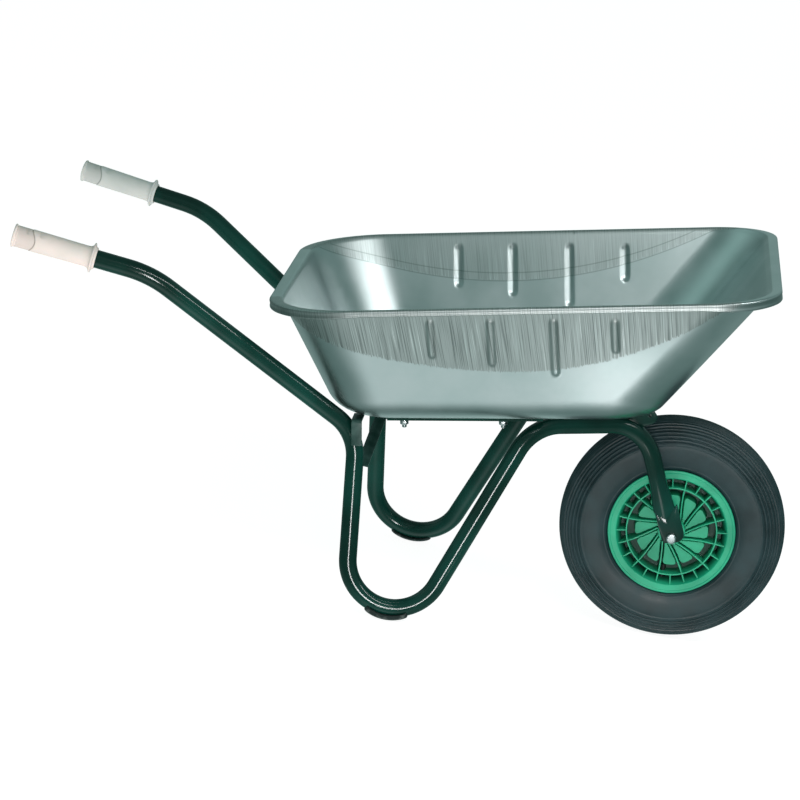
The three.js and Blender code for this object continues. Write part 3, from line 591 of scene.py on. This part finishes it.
cheek = np.array([[-134, 420], [-96, 427.8], [-80, 427], [-66, 411], [-71, 399], [-92, 388],
                  [-134, 392]]) * MM + [AXLE[0], 0]
cheeks = [flat_plate(rounded(cheek, 5 * MM), 0.004, np.array([0, side * 0.088, 0]),
                     np.array([1.0, 0, 0]), np.array([0, 0, 1.0]),
                     (AXLE[0] - 0.081, 0.411, 0.003)) for _, side in SIDES]
tie = [under_floor(x + 0.4965, 0, 0.0023) for x in (-0.138, -0.090)]
piece("fork_bracket", cheeks + [flat_bar(0.176, 0.004, tie, LEFT, floor_up)], enamel,
      "frame", "frame_paint", ["front_bracket"])


# ---- tray ----------------------------------------------------------------------------
# The tray is deep drawn in one press stroke from 1.5 mm galvanised sheet. The blank
# slides over the die, which leaves fine upright draw marks down to a curved front;
# four long dimples in each side stiffen it, and the rim is folded out and down.
SHEET = 1.5 * MM
DEPTH = 222 * MM
TILT = np.radians(12.8)
TRAY_AT = np.array([-0.300 + 0.4965, 0, 0.617])
DEEPENS, FLAT_U = 0.0227, -0.080
FRONT = {"rim": 0.380, "lean": np.radians(42.5), "fillet": 0.062, "flange": 0.017,
         "corner": 0.100}
REAR = {"rim": 0.451, "lean": np.radians(20.5), "fillet": 0.072, "flange": 0.020,
        "corner": 0.130}
SIDE = {"rim": 0.325, "lean": np.radians(21), "fillet": 0.072, "flange": 0.010}
FLOOR_CORNER = 0.062
WALL_SPAN, LAST_ROW = 2, 6
DIMPLES = np.array([[-188, -28, -87], [-88, -29, -103], [17, -30, -122], [119, -33, -80]]) * MM
DIMPLE_HALF, DIMPLE_DEEP = 9.8 * MM, 3 * MM
RIB_ZONE = (0.145, -0.212)


def wall_at(wall, row, inset):
    """[out, w] of a wall: down its slope for rows 0 to 2, w = row/2 of the slope's foot,
    then round the fillet for rows 2 to 6, centre + radius (cos a, 1 - sin a)."""
    radius = wall["fillet"] - inset
    base = inset - DEPTH
    foot = base + radius * (1 - np.sin(wall["lean"]))
    out = wall["rim"] - inset
    if row <= WALL_SPAN:
        w = foot * row / WALL_SPAN
        return out + w * np.tan(wall["lean"]), w
    share = (row - WALL_SPAN) / (LAST_ROW - WALL_SPAN)
    angle = wall["lean"] + (np.pi / 2 - wall["lean"]) * share
    centre = out + foot * np.tan(wall["lean"]) - radius * np.cos(wall["lean"])
    return centre + radius * np.cos(angle), base + radius * (1 - np.sin(angle))


corner_share = np.linspace(0, 1, 25)
rib_u = np.unique(np.concatenate(
    [np.linspace(*RIB_ZONE, 34)] + [u + np.linspace(-0.0135, 0.0135, 19)
                                    for u in DIMPLES[:, 0]]))[::-1]
ahead_share = np.linspace(0, 1, 19)[1:-1]
behind_share = np.linspace(0, 1, 17)[1:]
end_share = np.linspace(0, 1, 15)


def half_ring(row, inset, share, extra):
    """The left half of one ring, from the front's middle round to the rear's, as u, y, w
    and the length round the rim. A corner is u = reach - R (1 - cos a), y = half -
    R (1 - sin a), and its height eases from the end's to the side's."""
    half, side_w = wall_at(SIDE, row, inset)
    half += share * SIDE["flange"] + extra
    fade = row / LAST_ROW
    parts = []
    for wall, sign in ((FRONT, 1), (REAR, -1)):
        reach, end_w = wall_at(wall, row, inset)
        radius = wall["corner"] + (FLOOR_CORNER - wall["corner"]) * fade - inset * (1 - fade)
        grown = share * wall["flange"] + extra
        angle = corner_share * np.pi / 2
        side_grown = share * SIDE["flange"] + extra
        u = reach + grown - (radius + grown) * (1 - np.cos(angle))
        y = half - (radius + side_grown) * (1 - np.sin(angle))
        w = end_w + (side_w - end_w) * smooth(corner_share)
        length = (reach - radius) + radius * (np.pi / 2 - angle)
        flat_y = y[0] * end_share[:-1]
        u = np.concatenate([np.full(len(flat_y), u[0]), u])
        w = np.concatenate([np.full(len(flat_y), w[0]), w])
        length = np.concatenate([length[0] + y[0] - flat_y, length])
        y = np.concatenate([flat_y, y])
        parts.append(np.stack([sign * u, y, w, sign * length]))
    front, rear = parts[0], parts[1][:, ::-1]
    limit = min(RIB_ZONE[0], front[0, -1] - 0.008)
    zone = RIB_ZONE[1] + (rib_u - RIB_ZONE[1]) * (limit - RIB_ZONE[1]) / (RIB_ZONE[0]
                                                                          - RIB_ZONE[1])
    u = np.concatenate([front[0, -1] + (zone[0] - front[0, -1]) * ahead_share, zone,
                        zone[-1] + (rear[0, 0] - zone[-1]) * behind_share[:-1]])
    side = np.stack([u, np.full(len(u), half), np.full(len(u), side_w), u])
    return np.concatenate([front, side, rear], axis=1)


def dimpled(ring):
    """The side walls pressed outwards at each dimple, by its depth times the smoothed
    share (half - d) / 9 mm, where d is the distance to the dimple's middle line."""
    u, y, w, length = ring
    press = np.zeros_like(u)
    for at, top, bottom in DIMPLES:
        d = np.hypot(u - at, w - np.clip(w, bottom, top))
        press = np.maximum(press, smooth((DIMPLE_HALF - d) / 0.009))
    press = press * DIMPLE_DEEP * (np.abs(u) < 0.25)
    lean = SIDE["lean"]
    return np.stack([u, y + press * np.cos(lean), w - press * np.sin(lean), length])


def lip_drop(ring):
    """How much deeper the folded lip is at the ends and corners than along the sides."""
    return 0.92 + 0.38 * smooth((np.abs(ring[3] + 0.02) - 0.27) / 0.1)


# [share of the flange, mm beyond it, mm down] over the rim's top and back under it
OVER = [[0, -0.9, 1.5], [0, -0.2, 0.6], [0, 1.0, 0.15], [0, 3, 0], [1, -4.2, 0],
        [1, -2.4, 0.2], [1, -1.1, 0.8], [1, -0.3, 1.8], [1, 0, 3.2], [1, -0.5, 5.2],
        [1, -0.7, 7.2], [1, -0.3, 9], [1, 0.1, 10.3], [1, 0, 11.4], [1, -0.7, 12.1],
        [1, -1.6, 12], [1, -2, 11]]
UNDER = [[1, -2.1, 9], [1, -2.2, 5], [1, -2.8, 3], [1, -4.4, 1.7], [0, 3.2, 1.5],
         [0, 1.6, 1.8], [0, 0.7, 2.8]]
wall_rows = np.concatenate([[0.05], np.linspace(0.1, 2, 52)])
fillet_rows = np.linspace(2, 6, 16)[1:]
floor_shares = np.array([0.92, 0.75, 0.5, 0.25, 0.06])


def lip_ring(share, extra, down):
    ring = half_ring(0, 0, share, extra * MM)
    ring[2] = -down * MM * (lip_drop(ring) if share else 1)
    return ring


def shell_rows(inset):
    rows = [dimpled(half_ring(row, inset, 0, 0)) for row in (*wall_rows, *fillet_rows)]
    last = rows[-1]
    middle = np.array([FLAT_U, 0])
    for share in floor_shares:
        flat = last.copy()
        flat[:2] = middle[:, None] + (last[:2] - middle[:, None]) * share
        rows.append(flat)
    return rows


halves = (shell_rows(0)[::-1] + [lip_ring(*r) for r in UNDER[::-1]]
          + [lip_ring(*r) for r in OVER[::-1]] + shell_rows(SHEET))
halves = np.array(halves)
mirror = halves[:, :, -2:0:-1] * np.array([1, -1, 1, 1])[None, :, None]
rings = np.concatenate([halves, mirror], axis=2).transpose(0, 2, 1)
u, y, w, length = np.moveaxis(rings, -1, 0)
deep = w * (1 + (u - FLAT_U) * DEEPENS / DEPTH)
tray_rows = TRAY_AT + np.stack([u * np.cos(TILT) - deep * np.sin(TILT), y,
                                u * np.sin(TILT) + deep * np.cos(TILT)], -1)
outer_rows = len(wall_rows) + len(fillet_rows) + len(floor_shares) + len(UNDER)
is_inside = np.broadcast_to((np.arange(len(rings)) >= outer_rows + len(OVER))[:, None], u.shape)
front_of_marks = np.where(
    is_inside, -0.085 + 0.57 * (length + 0.095) ** 2,
    -0.122 + np.where(length > -0.045, 0.88, 0.54) * (length + 0.045) ** 2)
drawn = np.where(np.abs(w) > DEPTH * 0.97, -0.1, w - front_of_marks)
slanted = length + w * 0.06 * (1 - length / 0.3)


def with_poles(values):
    """One value per grid point, and one each for the two poles that skin adds."""
    return np.concatenate([values.ravel(), values[0, :1], values[-1, :1]])


# Hot-dip galvanised steel with a minimised spangle: a cloudy, softly reflecting skin
# of zinc that rolling has smoothed. Where the die rubbed, the zinc is scored into dull
# grey upright streaks with bright burnished lines about a millimetre or two wide.
zinc, tree, shader = fresh_material("hot_dip_galvanised_sheet")
shader.inputs["Metallic"].default_value = 1.0
marks = {name: add(tree, "Attribute", attribute_name=name).outputs["Fac"]
         for name in ("along", "down", "drawn", "inside")}
flow = add(tree, "CombineXYZ", {0: marks["along"], 1: marks["down"]}).outputs[0]


def streaks(wide_mm, long_mm, detail):
    """Noise in the tray's own coordinates, so many mm wide and long."""
    laid = add(tree, "Mapping", {"Vector": flow,
                                 "Scale": (1000 / wide_mm, 1000 / long_mm, 1)})
    return add(tree, "TexNoise", {"Vector": laid.outputs[0], "Scale": 1.0,
                                  "Detail": detail}).outputs[0]


def ramp(value, low, high, to=(0.0, 1.0)):
    """Linear from one range to another, held at its ends."""
    return add(tree, "MapRange", {"Value": value, "From Min": low, "From Max": high,
                                  "To Min": to[0], "To Max": to[1]}).outputs[0]


def blend(share, first, second):
    return add(tree, "Mix", {0: share, 6: first, 7: second}, data_type="RGBA").outputs[2]


def times(first, second):
    return add(tree, "Math", {0: first, 1: second}, operation="MULTIPLY").outputs[0]


ragged = add(tree, "Math", {0: marks["drawn"], 1: ramp(streaks(2, 40, 1), 0.3, 0.7,
                                                     (-0.003, 0.002))}, operation="ADD")
edge = ramp(ragged.outputs[0], 0.0, 0.0016)
scored = times(edge, ramp(marks["inside"], 0, 1, (1.0, 0.5)))
fringe = times(edge, ramp(marks["drawn"], 0.010, 0.004))
fine_lines, wide_lines = streaks(1.5, 120, 3), streaks(7, 200, 1)
burnished = ramp(fine_lines, 0.56, 0.72)
dark_lines = ramp(fine_lines, 0.5, 0.32)
bright_runs = times(ramp(wide_lines, 0.62, 0.72), ramp(fine_lines, 0.52, 0.6))
clouds = add(tree, "TexNoise", {"Vector": mapped(tree, 90), "Scale": 1.0, "Detail": 3.0})
plain = blend(ramp(clouds.outputs[0], 0.35, 0.65), linear("#c0cbcb"), linear("#d2d9da"))
dull = blend(dark_lines, linear("#bcc1c0"), linear("#868d8c"))
dull = blend(burnished, dull, linear("#cfd8d6"))
dull = blend(bright_runs, dull, linear("#f4f8f7"))
dull = blend(times(fringe, burnished), dull, linear("#eef4f4"))
# inside, the blank's edge left two thin dark curves about 14 mm apart as it was drawn
distances = [marks["drawn"], add(tree, "Math", {0: marks["drawn"], 1: 0.014},
                                 operation="SUBTRACT").outputs[0]]
curves = [ramp(add(tree, "Math", {0: d}, operation="ABSOLUTE").outputs[0], 0.0014, 0.0004)
          for d in distances]
curve = times(add(tree, "Math", {0: curves[0], 1: curves[1]}, operation="MAXIMUM").outputs[0],
              times(marks["inside"], 0.4))
skin_tone = blend(curve, blend(scored, plain, dull), linear("#4d6763"))
tree.links.new(skin_tone, shader.inputs["Base Color"])
soft = ramp(clouds.outputs[0], 0.3, 0.7, (0.30, 0.37))
rough = add(tree, "Mix", {0: scored, 2: soft, 3: ramp(fine_lines, 0.3, 0.7, (0.5, 0.36))})
tree.links.new(rough.outputs[0], shader.inputs["Roughness"])
hide = add(tree, "Bump", {"Height": times(scored, fine_lines), "Strength": 0.25,
                          "Distance": 0.0005})
tree.links.new(hide.outputs[0], shader.inputs["Normal"])

piece("pressed_tray", [skin(tray_rows, "pole")], zinc, "frame", "tray_zinc", ["tray"],
      sharp=60, along=with_poles(slanted), down=with_poles(-w), drawn=with_poles(drawn),
      inside=with_poles(is_inside.astype(float)))


# ---- tray bolts ----------------------------------------------------------------------
# Six M8 cup-head bolts hold the tray: four through the rails and two through the fork
# bracket, each with a washer and a nut below. Steel, bright zinc plated.
bright_zinc, tree, shader = fresh_material("bright_zinc_plated_steel")
shader.inputs["Metallic"].default_value = 1.0
stain = add(tree, "TexNoise", {"Vector": mapped(tree, 7), "Scale": 1.0, "Detail": 4.0})
tree.links.new(blend(ramp(stain.outputs[0], 0.35, 0.7), linear("#eef1f2"), linear("#c9d0d2")),
               shader.inputs["Base Color"])
tree.links.new(ramp(stain.outputs[0], 0.3, 0.7, (0.22, 0.42)), shader.inputs["Roughness"])
skate = add(tree, "Bump", {"Height": stain.outputs[0], "Strength": 0.15, "Distance": 0.0003})
tree.links.new(skate.outputs[0], shader.inputs["Normal"])


def spun_shape(profile, at, axis, segments=40, ends="pole"):
    """[radius, along] points spun about an axis: at + axis s + r (e cos a + f sin a)."""
    profile, axis = np.asarray(profile), unit(np.asarray(axis, float))
    guide = np.array([1.0, 0, 0]) if abs(axis[0]) < 0.8 else np.array([0, 0, 1.0])
    e = unit(np.cross(axis, guide))
    f = np.cross(axis, e)
    a = np.arange(segments) * 2 * np.pi / segments
    rim = e * np.cos(a)[:, None] + f * np.sin(a)[:, None]
    return skin(at + profile[:, 1, None, None] * axis + profile[:, 0, None, None] * rim, ends)


def hexagon(across_flats):
    a = np.arange(6) * np.pi / 3
    return across_flats / np.sqrt(3) * np.stack([np.cos(a), np.sin(a)], -1)


CUP_HEAD = rounded(np.array([[1, -3.6], [4, -3.3], [7, -2], [8.5, 0], [4, 0.2]]) * MM,
                   1.2 * MM, closed=False)
for name, x, y in (("rear_left", -497, 174), ("rear_right", -497, -174),
                   ("middle_left", -330, 174), ("middle_right", -330, -174),
                   ("front_left", -117, 48), ("front_right", -117, -48)):
    clamped = 4 * MM if name.startswith("front") else 8 * MM
    top = under_floor(x * MM + 0.4965, y * MM, -1.8 * MM)
    below = SHEET + 0.9 * MM + clamped
    shank = [[4, 0.3], [4, (below / MM) + 13], [3.2, (below / MM) + 14]]
    piece(name + "_cup_bolt",
          [spun_shape(np.vstack([CUP_HEAD, np.array(shank) * MM]), top, -floor_up)],
          bright_zinc, "frame", "bolt_zinc", [name + "_tray_bolt"])
    ring = rounded(np.array([[4.3, 0], [8.5, 0], [8.5, 1.6], [4.3, 1.6]]) * MM, 0.3 * MM, 3)
    piece(name + "_flat_washer",
          [spun_shape(ring, top - floor_up * below, -floor_up, 32, "ring")],
          bright_zinc, "frame", "bolt_zinc", [name + "_tray_washer"])
    nut_at = top - floor_up * (below + 1.9 * MM + 3.25 * MM)
    piece(name + "_hex_nut",
          [flat_plate(rounded(hexagon(0.013), 0.8 * MM, 4), 6.5 * MM, nut_at, floor_way,
                      LEFT, (0, 0, 4.3 * MM))],
          bright_zinc, "frame", "bolt_zinc", [name + "_tray_nut"])


# ---- axle ----------------------------------------------------------------------------
# An M12 bolt is the axle: its round head on the right and its nut on the left clamp the
# drop plates on spacers and a sleeve, so the bearings turn on the sleeve.
head = rounded(np.array([[1.5, -89.3], [6.6, -89.3], [8.8, -87.6], [8.8, -82.3], [6, -82.3],
                         [6, 94.3], [4.8, 95.3]]) * MM, 0.8 * MM, closed=False)
piece("axle_screw", [spun_shape(head, AXLE, LEFT, 48)], bright_zinc, "frame", "bolt_zinc",
      ["axle_bolt"])
piece("axle_hex_nut", [flat_plate(rounded(hexagon(0.018), 1 * MM, 4), 0.01,
                                  AXLE + LEFT * 0.0873, np.array([1.0, 0, 0]),
                                  np.array([0, 0, 1.0]), (0, 0, 0.0063))],
      bright_zinc, "frame", "bolt_zinc", ["axle_nut"])
for name, side in SIDES:
    for part, bore, outer, low, high in (("spacer", 6.3, 11, 41.3, 75.6),
                                         ("washer", 6.3, 12, 75.9, 77.7)):
        ring = rounded(np.array([[bore, low], [outer, low], [outer, high], [bore, high]]) * MM,
                       0.4 * MM, 3)
        piece(f"{name}_axle_{part}_ring", [spun_shape(ring, AXLE, LEFT * side, 48, "ring")],
              bright_zinc, "frame", "bolt_zinc", [f"{name}_axle_{part}"])

# Ground and hardened bearing steel, grey with a thin film of grease
bearing_steel, tree, shader = fresh_material("ground_bearing_steel")
shader.inputs["Metallic"].default_value = 1.0
film = add(tree, "TexNoise", {"Vector": mapped(tree, 5), "Scale": 1.0, "Detail": 3.0})
tree.links.new(blend(film.outputs[0], linear("#8b9194"), linear("#b4b9bb")),
               shader.inputs["Base Color"])
tree.links.new(ramp(film.outputs[0], 0.3, 0.7, (0.2, 0.38)), shader.inputs["Roughness"])
for node in ("axle_sleeve", "left_bearing", "right_bearing"):
    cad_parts[node].data.materials.clear()
    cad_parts[node].data.materials.append(bearing_steel)


# ---- rim -----------------------------------------------------------------------------
# The rim is one moulding in green polypropylene: a well for the tyre, a hub, a dished
# web with a raised petal between each pair of fins, twelve long curved fins, a thin
# ring, and twenty-four short ribs that tie the ring to the flange.
FIN_COUNT = 12
FIRST_FIN = np.radians(5)
RING_R = 79.6 * MM

polypropylene, tree, shader = fresh_material("moulded_green_polypropylene")
pigment = add(tree, "TexNoise", {"Vector": mapped(tree, 60), "Scale": 1.0, "Detail": 3.0})
green = blend(ramp(pigment.outputs[0], 0.35, 0.7), linear("#149a73"), linear("#23b488"))
# painted shade: the deep pockets between the fins and inside the flange are darkened towards
# near-black green, as the shade that falls in them
shade_in_pockets = add(tree, "Attribute", attribute_name="pocket").outputs["Fac"]
tree.links.new(blend(times(shade_in_pockets, 0.9), green, linear("#0a342c")), shader.inputs["Base Color"])
tree.links.new(ramp(pigment.outputs[0], 0.3, 0.7, (0.36, 0.5)), shader.inputs["Roughness"])
mould = add(tree, "TexNoise", {"Vector": mapped(tree, 3), "Scale": 1.0, "Detail": 2.0})
satin = add(tree, "Bump", {"Height": mould.outputs[0], "Strength": 0.12, "Distance": 0.0003})
tree.links.new(satin.outputs[0], shader.inputs["Normal"])


def wheel_point(radius, angle, across):
    """AXLE + radius (sin a, 0, cos a) + across along Y."""
    return AXLE + np.stack([radius * np.sin(angle), across, radius * np.cos(angle)], -1)


def fin(angle, inner, outer, bow, half, thick):
    """A thin wall along r with its middle line offset bow (1 - share)^2 sideways, and a
    rounded section, thick across and as wide as half gives at each radius."""
    share = np.linspace(0, 1, 16)
    r = inner + (outer - inner) * share
    offset = bow * (1 - share) ** 2
    out = np.array([np.sin(angle), 0, np.cos(angle)])
    over = np.array([np.cos(angle), 0, -np.sin(angle)])
    line = AXLE + r[:, None] * out + offset[:, None] * over
    way = unit(np.gradient(line, axis=0))
    across = np.cross(LEFT, way)
    t, h = thick / 2, half[0] + (half[1] - half[0]) * smooth(share)
    box = np.array([[-1, -1], [1, -1], [1, 1], [-1, 1.0]])
    shape = rounded(box * [t, h[0]], 0.8 * MM, 4)
    shape = np.roll(shape, -2, 0)
    grow = np.sign(shape[:, 1])
    section = np.stack([shape[None, :, 0].repeat(16, 0),
                        shape[None, :, 1] + grow * (h - h[0])[:, None]], -1)
    return skin(carried(section, line, across, np.tile(LEFT, (16, 1))))


def both(half):
    """A half profile of [radius, y] and its mirror image behind it."""
    half = np.asarray(half, float)
    return np.vstack([half, half[::-1] * [1, -1]])


well = rounded(np.vstack([both([[97.6, 44.2], [99, 45], [107.6, 44.4], [108.6, 45.6],
                                [111.4, 45.6], [112.5, 44.6], [112.5, 41.5], [101, 38.5],
                                [93, 22]]), both([[89.5, 20], [96.6, 40]])[::-1]]) * MM,
               0.7 * MM, 3)
PETAL_OUT, PETAL_GAP, PETAL_ROUND = 66 * MM, 2.4 * MM, 8 * MM
PETAL_LOW, PETAL_RISE = 3.5 * MM, 27 * MM
FIN_BOW = 10 * MM
petal_r = np.concatenate([np.linspace(22, 52, 10), np.linspace(53, 67.5, 18),
                          np.linspace(70, 91, 5)]) * MM
petal_a = np.linspace(0, 2 * np.pi, 30 * FIN_COUNT, endpoint=False)


def web_height(r, a):
    """Half the web's thickness: a low disc that rises to a petal between each two fins.
    With p the distance to the nearest fin and q to the petal's outer edge, the rise is
    eased over 1.4 mm of k - hypot(max(k - p, 0), max(k - q, 0)), which rounds by k."""
    bow = FIN_BOW * (1 - np.clip((r - 0.0225) / 0.0735, 0, 1)) ** 2
    part = (a - FIRST_FIN - bow / r) / (2 * np.pi / FIN_COUNT) % 1
    p = np.minimum(part, 1 - part) * (2 * np.pi / FIN_COUNT) * r - PETAL_GAP
    q = PETAL_OUT - r
    lift = PETAL_ROUND - np.hypot(np.maximum(PETAL_ROUND - p, 0),
                                  np.maximum(PETAL_ROUND - q, 0))
    return PETAL_LOW + PETAL_RISE * smooth(lift / (1.4 * MM))


r, a = np.meshgrid(petal_r, petal_a, indexing="ij")
tall = web_height(r, a)
web_rows = np.vstack([wheel_point(r, a, tall), wheel_point(r, a, -tall)[::-1]])
hub = rounded(both([[24.2, 3], [24, 38.8], [22.8, 40.6], [16.3, 40.6], [16.3, 29.8],
                    [12.5, 29.8]]) * MM, 0.8 * MM, 4)
band = rounded(both([[78.4, 42], [80.8, 42]]) * MM, 0.6 * MM, 4)
fins = [fin(FIRST_FIN + k * 2 * np.pi / FIN_COUNT, 0.0225, 0.096, FIN_BOW, (0.034, 0.0405),
            0.0024) for k in range(FIN_COUNT)]
ribs = [fin(FIRST_FIN + (k + 0.5) * 2 * np.pi / FIN_COUNT, 0.0795, 0.098, 0.0,
            (0.041, 0.0425), 0.0022) for k in range(FIN_COUNT)]
rim_skins = [spun_shape(well, AXLE, LEFT, 144, "ring"), spun_shape(hub, AXLE, LEFT, 64, "ring"),
             spun_shape(band, AXLE, LEFT, 144, "ring"), skin(web_rows, "ring"), *fins, *ribs]
off = np.vstack([part[0] for part in rim_skins]) - AXLE
from_axle, sideways = np.hypot(off[:, 0], off[:, 2]), np.abs(off[:, 1])
# painted shade: how deep a point sits in the web's middle and in the well behind the ring, which
# darkens its colour
pocket = np.maximum(smooth((15 * MM - sideways) / (9 * MM)) * (from_axle > 25 * MM),
                    smooth((37 * MM - sideways) / (16 * MM)) * (from_axle > 81.5 * MM))
pocket = pocket * (from_axle < 99 * MM)
piece("moulded_rim", rim_skins, polypropylene, "wheel", "rim_plastic", ["rim"], pocket=pocket)


# ---- tyre, tube and valve ------------------------------------------------------------
# A 4.00-8 ribbed tyre in carbon-black rubber, moulded smooth on its walls, with round
# ribs from shoulder to shoulder and a fine bead ridge. The tube's valve points inwards.
OUTSIDE = np.array([[102.4, 37.6], [107, 39.2], [112.8, 40.6], [116, 43.5], [124, 46.4],
                    [134, 48.2], [152, 49.4], [162, 48.7], [170, 47], [178, 44.4],
                    [184, 41.2], [190, 36], [194.6, 29.5], [197.6, 21.5], [199.4, 11],
                    [200, 0]]) * MM
INSIDE = np.array([[193, 0], [190, 18], [178, 35], [155, 42.5], [122, 37], [102.4, 31]]) * MM
RIB_PITCH, RIB_START, RIB_END, RIB_DEEP = 7 * MM, 3.5 * MM, 68 * MM, 2.3 * MM

rubber, tree, shader = fresh_material("carbon_black_tyre_rubber")
dust = add(tree, "TexNoise", {"Vector": mapped(tree, 55), "Scale": 1.0, "Detail": 5.0})
tree.links.new(blend(ramp(dust.outputs[0], 0.35, 0.7), linear("#13282b"), linear("#203a3e")),
               shader.inputs["Base Color"])
tree.links.new(ramp(dust.outputs[0], 0.3, 0.7, (0.36, 0.52)), shader.inputs["Roughness"])
pores = add(tree, "TexNoise", {"Vector": mapped(tree, 4), "Scale": 1.0, "Detail": 3.0})
skin_bump = add(tree, "Bump", {"Height": pores.outputs[0], "Strength": 0.12,
                               "Distance": 0.0003})
tree.links.new(skin_bump.outputs[0], shader.inputs["Normal"])

outside = flowing(OUTSIDE, 14)
step = np.linalg.norm(np.diff(outside, axis=0), axis=1)
from_crown = np.append(np.cumsum(step[::-1])[::-1], 0)
even = np.linspace(from_crown[0], 0, 210)
outside = np.stack([np.interp(-even, -from_crown, outside[:, i]) for i in (0, 1)], -1)
way = unit(np.gradient(outside, axis=0))
normal = np.stack([-way[:, 1], way[:, 0]], -1) * -1
normal *= np.sign(normal[100, 1])
phase = np.abs((even - RIB_START + RIB_PITCH / 2) % RIB_PITCH - RIB_PITCH / 2)
cut = RIB_DEEP * np.exp(-(phase / (1.35 * MM)) ** 2) * (even < RIB_END) * (even > 1 * MM)
ridge = 0.7 * MM * np.exp(-((outside[:, 0] - 118.5 * MM) / (1.1 * MM)) ** 2)
shoulder = 0.8 * MM * np.exp(-((even - 71 * MM) / (1.8 * MM)) ** 2)
outside = outside + normal * (ridge + shoulder - cut)[:, None]
profile = np.vstack([outside, outside[-2::-1] * [1, -1],
                     (flowing(INSIDE, 4) * [1, -1])[::-1], flowing(INSIDE, 4)[1:]])
piece("ribbed_tyre", [spun_shape(profile, AXLE, LEFT, 176, "ring")], rubber, "wheel", "tyre",
      ["tyre"], sharp=60)

butyl, tree, shader = fresh_material("butyl_rubber")
bloom = add(tree, "TexNoise", {"Vector": mapped(tree, 10), "Scale": 1.0, "Detail": 3.0})
tree.links.new(blend(bloom.outputs[0], linear("#121415"), linear("#232627")),
               shader.inputs["Base Color"])
tree.links.new(ramp(bloom.outputs[0], 0.3, 0.7, (0.4, 0.6)), shader.inputs["Roughness"])
VALVE_Y = -20 * MM
stem = rounded(np.array([[1, 0], [6, 0], [6, 9], [4.2, 13], [4.2, 34], [3.4, 36], [3.4, 40],
                         [3, 41], [3, 46], [1, 46]]) * MM, 0.5 * MM, 4, closed=False)
cap_line = rounded(np.array([[3.3, 0], [4.4, 0], [4.4, 8], [3.2, 9.4], [1, 9.4]]) * MM,
                   0.5 * MM, 4, closed=False)
piece("tube_valve_stem",
      [spun_shape(stem, AXLE + [0, VALVE_Y, -0.1175], (0, 0, 1), 32)], butyl, "wheel",
      "inner_rubber", ["valve_stem"])
piece("tube_valve_cap",
      [spun_shape(cap_line, AXLE + [0, VALVE_Y, -0.0762], (0, 0, 1), 32)], butyl, "wheel",
      "inner_rubber", ["valve_cap"])
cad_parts["inner_tube"].data.materials.clear()
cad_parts["inner_tube"].data.materials.append(butyl)
